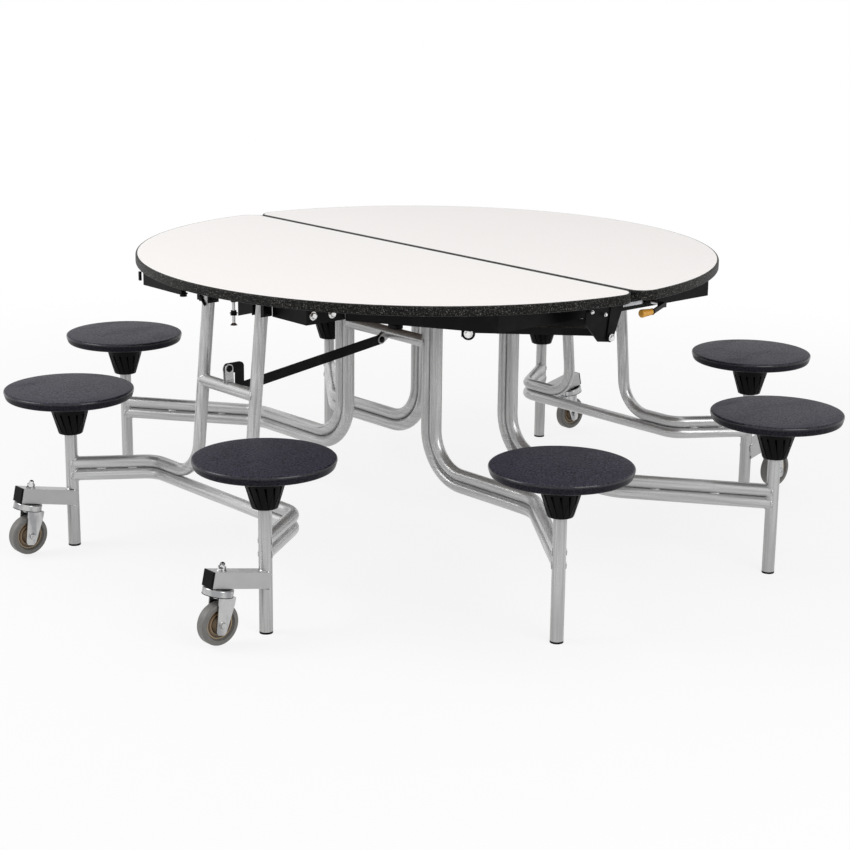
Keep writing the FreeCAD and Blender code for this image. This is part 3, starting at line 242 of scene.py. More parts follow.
rim_coat = make_frame_coat("rim_coat", True, True, inner=RIM_INNER)
centre_coat = make_frame_coat("centre_coat", True, True, inner=CENTRE_INNER)
# The posts get a slightly darker coat and the level tubes a lighter one than the bent tubes: painted shade on the
# posts and painted light on the level tubes, evening out how the lamps light them.
shaded_upright_coat = make_frame_coat("shaded_post_coat", True, False, 0.37, 0.53)
lit_level_coat = make_frame_coat("lit_level_coat", False, True, 0.44, 0.62)

# %% [markdown]
# The white laminate carries a very faint mottle and a satin surface. The same solid also shows its
# underside, which is a brown backing sheet, so the colour switches with height just below the top face.
# Where the halves meet, a band of the top along the seam is coloured in the speckled black of the edge,
# which widens the dark seam line. Spray leaves pale specks in the black.

# %% Laminate, backing sheet and sprayed edge
TOP_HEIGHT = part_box("near_top_board")[1].z
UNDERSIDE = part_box("near_top_board")[0].z
SHEET = 0.0006
SEAM_BAND_HALF = 0.0105
SEAM_BAND_FADE = 0.0012


def speckled_black(finish):
    """The colour of the sprayed edge."""
    speckle = finish.between(finish.noise(0.0026, 2.0), 0.55, 0.68)
    return finish.blend(speckle, (0.004, 0.004, 0.004), (0.12, 0.115, 0.105))


def make_laminate():
    sheet = Finish("laminate", (0.88, 0.845, 0.826), 0.38, 0.0, Specular_IOR_Level=0.2)
    mottle = sheet.noise(0.006, 4.0)
    cloud = sheet.noise(0.22, 2.0)
    white = sheet.blend(mottle, (0.862, 0.832, 0.815), (0.902, 0.872, 0.855))
    brown = sheet.blend(sheet.noise(0.004, 5.0), (0.10, 0.062, 0.038), (0.15, 0.095, 0.06))
    is_top = sheet.along("Z") > TOP_HEIGHT - SHEET
    from_seam = abs(sheet.along("Y")) + mottle * SEAM_BAND_FADE
    spray = sheet.between(from_seam, SEAM_BAND_HALF + SEAM_BAND_FADE, SEAM_BAND_HALF)
    plain = sheet.blend(is_top, brown, white)
    sheet.set("Base Color", sheet.blend(spray, plain, speckled_black(sheet)))
    sheet.set("Roughness", 0.33 + cloud * 0.09)
    sheet.bump(sheet.noise(0.0014, 2.0), 0.00003)
    return sheet.material


def make_sprayed_edge():
    edge = Finish("sprayed_edge", (0.004, 0.004, 0.004), 0.5, 0.0, Specular_IOR_Level=0.1)
    grain = edge.noise(0.0022, 3.0)
    edge.set("Base Color", speckled_black(edge))
    edge.set("Roughness", 0.36 + grain * 0.22)
    edge.bump(grain, 0.0009)
    return edge.material


laminate = make_laminate()
sprayed_edge = make_sprayed_edge()
print("top", round(TOP_HEIGHT, 4), "underside", round(UNDERSIDE, 4))

# %% [markdown]
# Black painted steel makes the aprons, brackets and braces. Paint on pressed steel shows a slight orange
# peel and dusty rubs rather than a flat black. Small steel parts are zinc plated, and the seats, hubs and
# plugs are moulded. Some solids carry two finishes, so their shaders choose by place: the bumper's screw
# among the painted rails, the lever at the end of the latch, and the stems on the caster arms.

# %% Black steel, zinc plate and moulded plastics
LEVER_ACROSS = 0.692
ARM_PITCH = math.radians(12.5)
ARM_FOOT = Vector((0.415, -0.850, 0.131))
ARM_SIZE = 0.0381
SEAT_RIM = 0.421
BUMPER_ACROSS = 0.013
BUMPER_OUT = 0.620
THREAD_RADIUS = 0.004
THREAD_PITCH = 0.0012
PAD_RADIUS = 0.0098
PAD_TOP = 0.6285


def start_paint(name):
    """Black paint with its orange peel; returns the finish, its rubs and its colour."""
    paint = Finish(name, (0.005, 0.005, 0.005), 0.4, 0.0, Specular_IOR_Level=0.1)
    paint.bump(paint.noise(0.0035, 2.0), 0.00008)
    rub = paint.between(paint.noise(0.05, 5.0), 0.48, 0.72)
    return paint, rub, paint.blend(rub, (0.003, 0.003, 0.003), (0.013, 0.013, 0.013))


def make_black_steel():
    paint, rub, black = start_paint("black_steel")
    paint.set("Base Color", black)
    paint.set("Roughness", 0.32 + rub * 0.25)
    return paint.material


def make_zinc(name, low, high, dark_reflection):
    """Zinc plate: two tones of haze, and broad dark stripes painted in as reflections of a room."""
    plate = Finish(name, high, 0.22, 1.0)
    haze = plate.noise(0.009, 4.0)
    reflection_bands = plate.between(plate.noise(0.018, 1.0, (1, 1, 0.25)), 0.44, 0.62)
    plate.set("Base Color", plate.blend(reflection_bands * 0.5, plate.blend(haze, low, high), dark_reflection))
    plate.set("Roughness", 0.12 + haze * 0.12)
    plate.bump(plate.noise(0.002, 3.0), 0.00004)
    return plate.material


def make_black_plastic():
    plastic = Finish("black_plastic", (0.003, 0.003, 0.003), 0.38, 0.0, Specular_IOR_Level=0.06)
    haze = plastic.noise(0.03, 3.0)
    plastic.set("Base Color", plastic.blend(haze, (0.003, 0.003, 0.003), (0.008, 0.008, 0.008)))
    plastic.set("Roughness", 0.27 + haze * 0.2)
    plastic.bump(plastic.noise(0.0011, 2.0), 0.00004)
    return plastic.material


def make_seat_plastic():
    plastic = Finish("seat_plastic", (0.05, 0.048, 0.062), 0.4, 0.0, Specular_IOR_Level=0.04,
                     Coat_Roughness=0.16)
    pebble = plastic.pebbles(0.006)
    fine = plastic.noise(0.0034, 2.0)
    scuff = plastic.between(plastic.noise(0.07, 6.0, (1, 0.5, 1)), 0.50, 0.75)
    grain = plastic.between(fine, 0.42, 0.60)
    on_top = plastic.between(plastic.along("Z"), SEAT_RIM - 0.0030, SEAT_RIM - 0.0008)
    shade = plastic.blend(grain, (0.011, 0.0105, 0.0155), (0.055, 0.052, 0.074))
    worn = plastic.blend(scuff * 0.2, shade, (0.038, 0.037, 0.044))
    # The wall is painted much darker than the top: painted shade on the upright sides of the seat.
    shaded_wall = plastic.blend(grain, (0.008, 0.0078, 0.0105), (0.022, 0.021, 0.029))
    plastic.set("Base Color", plastic.blend(on_top, shaded_wall, worn))
    plastic.set("Roughness", 0.24 + on_top * 0.08 + pebble * 0.12 + scuff * 0.1)
    shoulder = plastic.between(plastic.along("Z"), SEAT_RIM - 0.0085, SEAT_RIM - 0.0055)
    plastic.set("Coat Weight", shoulder * (1 - on_top) * 0.7)
    plastic.bump((pebble * 0.7 + fine * 0.5) * (0.25 + on_top * 0.75), 0.0007)
    return plastic.material


def make_amber():
    grip = Finish("amber_grip", (0.70, 0.36, 0.05), 0.3, 0.0, IOR=1.48)
    haze = grip.noise(0.01, 3.0)
    grip.set("Base Color", grip.blend(haze, (0.62, 0.28, 0.03), (0.78, 0.42, 0.07)))
    grip.set("Roughness", 0.22 + haze * 0.15)
    return grip.material


def make_rail_paint():
    """Black paint, with the bumper's screw left in bright zinc."""
    paint, rub, black = start_paint("rail_paint")
    y = paint.along("Y")
    turned = paint.along("X") * paint.node("ShaderNodeMath", {"operation": "SIGN"}, {0: y})
    off = (turned - BUMPER_ACROSS).off_axis(abs(y) - BUMPER_OUT)
    thread = paint.between(off, THREAD_RADIUS + 0.0006, THREAD_RADIUS + 0.0002)
    below = paint.between(paint.along("Z"), PAD_TOP, PAD_TOP - 0.001)
    pad = paint.between(off, PAD_RADIUS, PAD_RADIUS - 0.0003) * below
    bare = paint.node("ShaderNodeMath", {"operation": "MAXIMUM"}, {0: thread, 1: pad})
    # The thread itself is not modelled: light and dark bands along the screw are painted highlights on its crests
    # and painted shade in its roots.
    pitch = paint.node("ShaderNodeMath", {"operation": "PINGPONG"},
                       {0: paint.along("Z"), 1: THREAD_PITCH})
    thread_light_and_shade = paint.between(pitch, 0.0, THREAD_PITCH)
    zinc = paint.blend(thread_light_and_shade, (0.22, 0.22, 0.23), (0.75, 0.75, 0.76))
    paint.set("Base Color", paint.blend(bare, black, zinc))
    paint.set("Metallic", bare)
    paint.set("Roughness", 0.32 + rub * 0.25 - bare * 0.15)
    return paint.material


def make_latch_metal():
    """Bright zinc for the shaft and hook, black paint for the lever at the outer end."""
    metal = Finish("latch_metal", (0.62, 0.63, 0.65), 0.25)
    lever = abs(metal.along("X")) > LEVER_ACROSS
    haze = metal.noise(0.008, 3.0)
    bright = metal.blend(haze, (0.42, 0.43, 0.45), (0.72, 0.72, 0.73))
    metal.set("Base Color", metal.blend(lever, bright, (0.006, 0.006, 0.006)))
    metal.set("Metallic", 1 - lever)
    metal.set("Roughness", 0.2 + haze * 0.15 + lever * 0.15)
    metal.bump(haze, 0.00003)
    return metal.material


def make_arm_finish():
    """Grey coat on the square arms, bright zinc on whatever stands above or below them, whose broad light and dark
    stripes are painted reflections.
    """
    arm = Finish("arm_coat", (0.42, 0.42, 0.42), 0.3)
    out = abs(arm.along("Y")) + ARM_FOOT.y
    lift = (arm.along("Z") - ARM_FOOT.z) * math.cos(ARM_PITCH) - out * math.sin(ARM_PITCH)
    past = abs(lift) > ARM_SIZE / 2 + 0.0003
    cloud = arm.noise(0.03, 3.0)
    reflection_bands = arm.between(arm.noise(0.010, 1.0), 0.45, 0.55)
    coat = arm.blend(cloud, (0.40, 0.40, 0.40), (0.465, 0.465, 0.465))
    bright = arm.blend(reflection_bands, (0.70, 0.70, 0.70), (0.10, 0.10, 0.105))
    arm.set("Base Color", arm.blend(past, coat, bright))
    arm.set("Metallic", 0.55 + past * 0.45)
    arm.set("Roughness", 0.30 - past * 0.16)
    arm.bump(arm.noise(0.0009, 2.0), 0.00004)
    return arm.material


black_steel = make_black_steel()
rail_paint = make_rail_paint()
zinc_plate = make_zinc("zinc_plate", (0.44, 0.445, 0.45), (0.58, 0.575, 0.565), (0.14, 0.145, 0.165))
bolt_zinc = make_zinc("bolt_zinc", (0.72, 0.72, 0.72), (0.92, 0.92, 0.91), (0.45, 0.45, 0.46))
black_plastic = make_black_plastic()
seat_plastic = make_seat_plastic()
amber_grip = make_amber()
latch_metal = make_latch_metal()
arm_coat = make_arm_finish()
BLACK_STEEL = (black_steel, "black_steel")
BLACK_PLASTIC = (black_plastic, "black_plastic")
print("materials:", len(bpy.data.materials))

# %% [markdown]
# A caster wheel is one moulding of two colours: a grey tread over a brown core. The webs and grooves of the
# core are not modelled; they are painted as four rings, paler ones as painted highlights on the webs and
# darker ones as painted shade in the grooves. All lie on the same solid, so the colour is chosen by the
# distance from the axle, which each wheel's own joint gives.

# %% Two-coloured caster wheels
CORE_RADIUS = 0.0345
PAINTED_RELIEF_RINGS = ((0.0330, (0.36, 0.27, 0.16)), (0.0300, (0.03, 0.018, 0.012)),
              (0.0245, (0.30, 0.21, 0.12)), (0.0215, (0.03, 0.018, 0.012)))


def make_wheel_finish(name, axle):
    rubber = Finish(name, (0.2, 0.2, 0.19), 0.5)
    radius = (rubber.along("Y") - axle.y).off_axis(rubber.along("Z") - axle.z)
    in_core = rubber.between(radius, CORE_RADIUS + 0.0006, CORE_RADIUS - 0.0006)
    wear = rubber.noise(0.006, 5.0)
    tread = rubber.blend(wear, (0.104, 0.101, 0.095), (0.185, 0.180, 0.170))
    core = rubber.blend(wear, (0.095, 0.060, 0.032), (0.17, 0.115, 0.062))
    for ring_radius, colour in PAINTED_RELIEF_RINGS:
        core = rubber.blend(rubber.between(abs(radius - ring_radius), 0.0016, 0.0008), core, colour)
    rubber.set("Base Color", rubber.blend(in_core, tread, core))
    rubber.set("Roughness", 0.34 + wear * 0.2)
    rubber.bump(wear, 0.0001)
    return rubber.material


WHEELS = [f"{half}_{hand}" for half, _ in HALVES for hand in ("right", "left")]
for wheel in WHEELS:
    axle_at = Vector(joints[f"{wheel}_wheel_spin"]["pos_m"])
    finish = make_wheel_finish(f"{wheel}_wheel_rubber", axle_at)
    nodes[f"{wheel}_caster_wheel"].data.materials.clear()
    nodes[f"{wheel}_caster_wheel"].data.materials.append(finish)
print("wheel finishes:", len(WHEELS))

# %% [markdown]
# Both halves name their solids alike after the first word, so one table of endings dresses the near and
# the far half. The seats and hubs are in it too, although modelled ones take their places further on.

# %% Give the carried-over solids their finishes
BY_ENDING = {
    "top_board": laminate, "top_edge": sprayed_edge, "aprons": black_steel, "rails": rail_paint,
    "brackets": black_steel, "brace": black_steel, "latch": latch_metal, "latch_grip": amber_grip,
    "rim_lower_tube": lit_level_coat, "rim_upper_tubes": rim_coat, "rim_posts": shaded_upright_coat,
    "centre_lower_tubes": centre_coat, "centre_upper_tubes": centre_coat, "centre_posts": shaded_upright_coat,
    "rim_glides": black_plastic, "centre_glides": black_plastic, "end_plugs": black_plastic,
    "caster_arms": arm_coat, "caster_fork": zinc_plate, "seat": seat_plastic, "hub": black_plastic,
}
dressed = 0
for name, solid in nodes.items():
    for ending, material in BY_ENDING.items():
        if name.endswith(f"_{ending}"):
            solid.data.materials.clear()
            solid.data.materials.append(material)
            dressed += 1
print("dressed solids:", dressed + len(WHEELS), "of", len(nodes))

# %% [markdown]
# From here on, pieces are modelled. Each starts as a primitive and is shaped in edit mode with the tools
# a person would use by hand. The operators act on whatever is selected, so the helpers below first clear
# the selection, then pick faces or edges by where they are or which way they face.

# %% Modelling helpers
def begin():
    """Leaves edit mode and selects nothing."""
    if bpy.context.object and bpy.context.object.mode != "OBJECT":
        bpy.ops.object.mode_set(mode="OBJECT")
    bpy.ops.object.select_all(action="DESELECT")


def edit(piece):
    """Opens one piece for editing with nothing selected."""
    begin()
    piece.select_set(True)
    bpy.context.view_layer.objects.active = piece
    bpy.ops.object.mode_set(mode="EDIT")
    bpy.ops.mesh.select_all(action="DESELECT")


def pick(piece, mode, test):
    """Selects the faces or edges of the open piece that pass a test."""
    bpy.ops.mesh.select_mode(type=mode)
    bpy.ops.mesh.select_all(action="DESELECT")
    mesh = bmesh.from_edit_mesh(piece.data)
    chosen = 0
    for item in (mesh.faces if mode == "FACE" else mesh.edges):
        if test(item):
            item.select_set(True)
            chosen += 1
    mesh.select_flush_mode()
    bmesh.update_edit_mesh(piece.data)
    return chosen


def bevel(offset, segments=2):
    """Rounds the picked edges, or the rims of the picked faces."""
    bpy.ops.mesh.bevel(offset=offset, segments=segments, profile=0.5, affect="EDGES")


def middle(item):
    """The middle of a face or an edge."""
    total = Vector()
    for corner in item.verts:
        total += corner.co
    return total / len(item.verts)


def drum(name, radius, depth, place, sides=48, axis=(0, 0, 1), top=None):
    """A closed cylinder or cone along an axis, its middle at a place."""
    begin()
    turn = Vector((0, 0, 1)).rotation_difference(Vector(axis)).to_euler()
    bpy.ops.mesh.primitive_cone_add(vertices=sides, radius1=radius, depth=depth,
                                    radius2=radius if top is None else top, location=place, rotation=turn)
    bpy.context.object.name = name
    return bpy.context.object


def block(name, size, place):
    """A box of a size, its middle at a place."""
    begin()
    bpy.ops.mesh.primitive_cube_add(size=1, location=place, scale=size)
    bpy.context.object.name = name
    return bpy.context.object


def settle(piece, smooth=32):
    """Puts a piece's place into its mesh and shades its soft edges."""
    begin()
    piece.select_set(True)
    bpy.context.view_layer.objects.active = piece
    bpy.ops.object.transform_apply(location=True, rotation=True, scale=True)
    bpy.ops.object.shade_smooth_by_angle(angle=math.radians(smooth))
    return piece


def join(name, pieces):
    """Joins finished pieces into one."""
    begin()
    for piece in pieces:
        piece.select_set(True)
    bpy.context.view_layer.objects.active = pieces[0]
    bpy.ops.object.join()
    joined = bpy.context.object
    joined.name = name
    return joined


def copy_of(piece, name, matrix):
    """A copy with its own mesh, moved in its mesh."""
    twin = bpy.data.objects.new(name, piece.data.copy())
    twin.data.name = name
    twin.data.transform(matrix)
    bpy.context.scene.collection.objects.link(twin)
    return twin


def fit(piece, body, material, slot):
    """Gives a piece its body and its finish; its slot is not used."""
    piece.data.materials.clear()
    piece.data.materials.append(material)
    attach(piece, body)
    return piece


def both_halves(piece, ending, body, material, slot):
    """Keeps a piece on the near half and copies it, turned, to the far half."""
    for half, turn in reversed(HALVES):
        item = piece if half == "near" else copy_of(piece, f"far_{ending}", turn)
        item.name = f"{half}_{ending}"
        fit(item, f"{half}_{body}", material, slot)
    return piece


print("helpers ready")

# %% [markdown]
# A stool seat is one thick moulded disc. From the side it shows a soft shoulder, a short wall that leans
# in and a smaller round below, and its top is very slightly domed so that it feels flat but sheds water.
# Underneath it is hollowed to keep the wall even, with a boss that takes the hub. One seat is modelled at
# the middle of the floor, and the eight real ones are copies of it. A bevel makes the shoulder and
# repeated insets the dome.

# %% One seat, modelled in the middle
SEAT_FOOT_RADIUS = 0.1595
SEAT_BROW_RADIUS = 0.1671
SEAT_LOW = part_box("near_rim_right_seat")[0].z
SEAT_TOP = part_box("near_rim_right_seat")[1].z
ROUNDED_EDGES = ((SEAT_RIM, 0.0085, 6), (SEAT_LOW, 0.005, 4))
TOP_INSETS = ((0.020, 0.30), (0.035, 0.30), (0.045, 0.25), (0.040, 0.15))
UNDER_INSETS = ((0.004, 0.009), (0.070, 0.0), (0.004, -0.009))
LEVEL = 0.9999


def make_seat():
    """Each inset has a width and a rise: on top a share of the dome, below in metres."""
    seat = settle(drum("seat", SEAT_FOOT_RADIUS, SEAT_RIM - SEAT_LOW, (0, 0, (SEAT_RIM + SEAT_LOW) / 2),
                       sides=112, top=SEAT_BROW_RADIUS))
    edit(seat)
    for height, round_off, steps in ROUNDED_EDGES:
        pick(seat, "EDGE", lambda edge: all(abs(v.co.z - height) < 1e-5 for v in edge.verts)
             and middle(edge).length > 0.5 * SEAT_FOOT_RADIUS)
        bevel(round_off, steps)
    pick(seat, "FACE", lambda face: face.normal.z > LEVEL)
    for width, rise in TOP_INSETS:
        bpy.ops.mesh.inset(thickness=width)
        bpy.ops.transform.translate(value=(0, 0, rise * (SEAT_TOP - SEAT_RIM)))
    pick(seat, "FACE", lambda face: face.normal.z < -LEVEL)
    bpy.ops.mesh.inset(thickness=0.006)
    for width, rise in UNDER_INSETS:
        bpy.ops.mesh.inset(thickness=width)
        bpy.ops.transform.translate(value=(0, 0, rise))
    return settle(seat, 40)


seat_pattern = make_seat()
print("seat faces:", len(seat_pattern.data.polygons), "height", round(SEAT_TOP - SEAT_LOW, 4))

# %% [markdown]
# The hub is a flared sleeve of black nylon that drops over the post. Moulded hubs have upright ribs that
# save plastic and hide sink marks. A cone with 56 sides gives 14 groups of four. In each group three
# strips are sunk together with an inset, and the fourth stays proud as a rib. Bisecting the cone first
# gives a ring that can be widened, so the side swells slightly.

# %% One hub, modelled in the middle
HUB_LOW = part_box("near_rim_right_hub")[0].z
HUB_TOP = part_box("near_rim_right_hub")[1].z
HUB_FOOT_RADIUS = 0.030
HUB_HEAD_RADIUS = 0.0555
POST_SLEEVE = 0.01598
SLEEVE_DEPTH = 0.0855
FLUTES = 14
FLUTE_DEPTH = 0.0007


def make_hub():
    tall = HUB_TOP - HUB_LOW
    hub = settle(drum("hub", HUB_FOOT_RADIUS, tall, (0, 0, (HUB_TOP + HUB_LOW) / 2),
                      sides=4 * FLUTES, top=HUB_HEAD_RADIUS))
    edit(hub)
    for share, swell in ((0.6, 1.045), (0.93, 1.0)):
        bpy.ops.mesh.select_all(action="SELECT")
        bpy.ops.mesh.bisect(plane_co=(0, 0, HUB_LOW + share * tall), plane_no=(0, 0, 1))
        bpy.ops.transform.resize(value=(swell, swell, 1))
    step = 2 * math.pi / (4 * FLUTES)

    def is_sunk(face):
        at = middle(face)
        strip = round(math.atan2(at.y, at.x) / step - 0.5) % 4
        return abs(face.normal.z) < 0.6 and strip != 0 and at.z < HUB_LOW + 0.92 * tall
    pick(hub, "FACE", is_sunk)
    bpy.ops.mesh.inset(thickness=0.0006, depth=-FLUTE_DEPTH, use_boundary=True)
    pick(hub, "FACE", lambda face: face.normal.z < -LEVEL)
    bpy.ops.mesh.inset(thickness=HUB_FOOT_RADIUS - POST_SLEEVE - 0.0004)
    bpy.ops.mesh.extrude_region_move(TRANSFORM_OT_translate={"value": (0, 0, SLEEVE_DEPTH)})
    pick(hub, "EDGE", lambda edge: all(abs(v.co.z - HUB_LOW) < 1e-5 for v in edge.verts)
         and middle(edge).xy.length > HUB_FOOT_RADIUS - 0.001)
    bevel(0.0012)
    return settle(hub, 24)


hub_pattern = make_hub()
print("hub faces:", len(hub_pattern.data.polygons))

# %% [markdown]
# A small socket screw pinches each hub to its post so that the seat turns without lifting off. It is a
# short drum with a bevelled rim and a round socket: the socket is an inset of the end face pushed inwards.

# %% One set screw
SCREW_HEIGHT = 0.345
SCREW_OUT = 0.0392
SCREW_RADIUS = 0.0036
SCREW_LONG = 0.006


def make_set_screw():
    screw = settle(drum("set_screw", SCREW_RADIUS, SCREW_LONG, (SCREW_OUT, 0, SCREW_HEIGHT),
                        sides=24, axis=(1, 0, 0)))
    edit(screw)
    pick(screw, "EDGE", lambda edge: all(v.co.x > SCREW_OUT + 0.0025 for v in edge.verts))
    bevel(0.0006)
    pick(screw, "FACE", lambda face: face.normal.x > 0.99)
    bpy.ops.mesh.inset(thickness=0.0012)
    bpy.ops.mesh.extrude_region_move(TRANSFORM_OT_translate={"value": (-0.002, 0, 0)})
    return settle(screw, 30)


screw_pattern = make_set_screw()

# %% [markdown]
# Each stool is the three patterns set on its own post and turned to face the middle. The screws are
# turned a little further from stool to stool, since nobody lines them up. Seat and hub take the place of
# plain solids.

# %% Eight stools from the three patterns
stools = [(half, frame_name, hand) for half, _ in HALVES
          for frame_name in ("rim", "centre") for hand in ("right", "left")]
for count, (half, frame_name, hand) in enumerate(stools):
    name = f"{half}_{frame_name}_{hand}"
    low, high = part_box(f"{name}_seat")
    centre = Vector(((low.x + high.x) / 2, (low.y + high.y) / 2, 0))
    facing = math.atan2(centre.y, centre.x)
    stand = Matrix.Translation(centre) @ Matrix.Rotation(facing, 4, "Z")
    aside = Matrix.Translation(centre) @ Matrix.Rotation(facing - 0.9 + 0.35 * count, 4, "Z")
    body = f"{name}_stool"
    seat = copy_of(seat_pattern, f"{name}_moulded_seat", stand)
    fit(seat, body, seat_plastic, "seat_plastic")
    hub = copy_of(hub_pattern, f"{name}_fluted_hub", stand)
    fit(hub, body, *BLACK_PLASTIC)
    screw = copy_of(screw_pattern, f"{name}_set_screw", aside)
    fit(screw, body, *BLACK_STEEL)
    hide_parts(f"{name}_seat")
    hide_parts(f"{name}_hub")
for pattern in (seat_pattern, hub_pattern, screw_pattern):
    bpy.data.objects.remove(pattern, do_unlink=True)
print("stools:", len(stools))

# %% [markdown]
# Where one tube is coped onto another, the welder leaves a rippled bead that follows the saddle-shaped
# joint. A torus is the right start: it already runs round the tube. Its points are then slid along the
# tube until the ring lies on the round of the post, and a ripple in its thickness gives the look of
# overlapping puddles.

# %% Weld beads on round joints
TUBE_RADIUS = 0.015875
BEAD = 0.0023
SUNK = 0.0002


def weld_ring(name, joint, along, upright, rings=60):
    """A bead round a tube that meets a post: joint on the post's axis, along toward the tube."""
    along = Vector(along).normalized()
    upright = Vector(upright).normalized()
    side = along.cross(upright).normalized()
    begin()
    turn = Matrix((side, upright, along)).transposed().to_euler()
    ring_radius = TUBE_RADIUS + 0.0004
    bpy.ops.mesh.primitive_torus_add(major_segments=rings, minor_segments=8, major_radius=ring_radius,
                                     minor_radius=BEAD, location=joint, rotation=turn)
    bead = settle(bpy.context.object, 60)
    bead.name = name
    for vertex in bead.data.vertices:
        offset = vertex.co - Vector(joint)
        lateral = offset.dot(side)
        saddle = math.sqrt(max(TUBE_RADIUS ** 2 - lateral ** 2, 0)) - SUNK
        round_at = math.atan2(offset.dot(upright), lateral)
        ripple = 1 + 0.16 * math.sin(round_at * rings / 4)
        spoke = side * lateral + upright * offset.dot(upright)
        core = spoke.normalized() * ring_radius
        fat = (spoke - core) * ripple
        vertex.co = Vector(joint) + core + fat + along * (saddle + offset.dot(along) * ripple)
    bead.data.update()
    return bead


def tack(name, place, along):
    """A short weld between two stacked tubes."""
    along = Vector(along).normalized()
    begin()
    turn = Vector((1, 0, 0)).rotation_difference(along).to_euler()
    bpy.ops.mesh.primitive_uv_sphere_add(segments=16, ring_count=8, radius=1, location=place, rotation=turn,
                                         scale=(0.013, 0.0033, 0.0026))
    bead = settle(bpy.context.object, 60)
    bead.name = name
    edit(bead)
    pick(bead, "FACE", lambda face: (middle(face) - Vector(place)).dot(along) > 0)
    bpy.ops.transform.resize(value=(1, 1, 0.8), center_override=place)
    return settle(bead, 60)


print("weld tools ready")

# %% [markdown]
# On each frame the stacked tubes run from a post to a corner. Beads close their ends on the post, and
# short tacks on both sides tie the stack together. The cross tubes higher up get a bead at each upright.

# %% Where the frames are welded
RIM_POST = Vector((0.415, -0.850, 0))
RIM_CORNER = Vector((0.295, -0.671, 0))
MID_POST = Vector((0.887, -0.378, 0))
MID_KINK = Vector((0.560, -0.136, 0))
RIM_HEIGHTS = (0.190, 0.2219)
MID_HEIGHTS = (0.184, 0.2159)
RIM_CROSS = Vector((0.1095, -0.64633, 0.4686))
MID_CROSS = Vector((0.16105, -0.136, 0.541))
RIM_LEAN = Vector((0, 0.1, 1))
UP = Vector((0, 0, 1))
TACK_SHARES = (0.35, 0.72)
TACK_OUT = 0.0062


def frame_welds(name, post, corner, heights):
    beads = []
    for sign in (1, -1):
        flip = Vector((sign, 1, 1))
        run = (corner - post) * flip
        for height in heights:
            beads.append(weld_ring(f"{name}_bead", post * flip + UP * height, run, UP))
        outward = run.normalized().cross(UP)
        for share in TACK_SHARES:
            place = (post + (corner - post) * share) * flip + UP * (sum(heights) / 2)
            for face in (1, -1):
                beads.append(tack(f"{name}_tack", place + outward * face * TACK_OUT, run))
    return beads


rim_beads = frame_welds("rim", RIM_POST, RIM_CORNER, RIM_HEIGHTS)
mid_beads = frame_welds("mid", MID_POST, MID_KINK, MID_HEIGHTS)
for sign in (1, -1):
    flip = Vector((sign, 1, 1))
    rim_beads.append(weld_ring("rim_bead", RIM_CROSS * flip, (-sign, 0, 0), RIM_LEAN))
    mid_beads.append(weld_ring("mid_bead", MID_CROSS * flip, (-sign, 0, 0), UP))
rim_welds = join("rim_welds", rim_beads)
mid_welds = join("mid_welds", mid_beads)
both_halves(rim_welds, "rim_frame_welds", "rim_frame", rim_coat, "frame_steel")
both_halves(mid_welds, "centre_frame_welds", "centre_frame", centre_coat, "frame_steel")
print("weld faces:", len(rim_welds.data.polygons), len(mid_welds.data.polygons))

# %% [markdown]
# Bolts hold everything that moves. Each is a washer and a six-sided head with a chamfered rim and a
# shallow dish in its end. The head's chamfer is a bevel of its outer edges, and the washer's rim is
# rounded the same way.

# %% Hex bolts and washers
WASHER_THICK = 0.0016


def hex_bolt(name, seat_at, axis, width=0.0085, height=0.0055, washer=1.25):
    """A washer and a hex head that stand on a point, pointing along an axis."""
    axis = Vector(axis).normalized()
    base = Vector(seat_at)
    ring = settle(drum("ring", width * washer, WASHER_THICK, base + axis * WASHER_THICK / 2,
                       sides=32, axis=axis))
    edit(ring)
    pick(ring, "EDGE", lambda edge: all((v.co - base).dot(axis) > 0.0012 for v in edge.verts))
    bevel(0.0005)
    head = settle(drum("head", width, height, base + axis * (WASHER_THICK + height / 2),
                       sides=6, axis=axis))
    edit(head)
    pick(head, "EDGE", lambda edge: all((v.co - base).dot(axis) > 0.0015 + height for v in edge.verts))
    bevel(0.0011, 3)
    pick(head, "FACE", lambda face: face.normal.dot(axis) > 0.99)
    bpy.ops.mesh.inset(thickness=0.0012, depth=-0.0003)
    return join(name, [settle(ring, 30), settle(head, 30)])


CHANNEL_END = 0.263
END_BOLTS = ((-0.590, 0.685), (-0.533, 0.6825))
SEAM_FACE = 0.6715
SEAM_SCREWS = ((-0.0694, 0.6933), (-0.0235, 0.6813))
TIE_WAY = Vector((0.7086, 0.7056, 0))
TIE_SIDE = Vector((0.7056, -0.7086, 0))
TIE_BOLT = Vector((0.425, -0.259, 0.628)) + TIE_WAY * 0.014 + TIE_SIDE * 0.009
LUG_RADIUS = 0.0165
LUG_THICK = 0.003

bright = [hex_bolt("end_bolt", (CHANNEL_END, out, high), (1, 0, 0)) for out, high in END_BOLTS]
bright.append(hex_bolt("seam_bolt", (SEAM_FACE, 0, 0.622), (1, 0, 0), 0.0075, 0.005))
bright.append(hex_bolt("tie_bolt", TIE_BOLT + TIE_SIDE * LUG_THICK, TIE_SIDE, 0.0085, 0.005, 1.3))
for out, high in SEAM_SCREWS:
    bright.append(hex_bolt("plate_screw", (SEAM_FACE, out, high), (1, 0, 0), 0.0042, 0.003))
print("bright bolts:", len(bright), "on each half")
both_halves(join("top_bolts", bright), "top_bolts", "top", bolt_zinc, "chrome")

# %% [markdown]
# The bolt at the end of the tie tube needs something to pull against: a round-ended plate that hangs from
# the underside. It is a thin drum whose upper faces are drawn up and flattened just below the top.

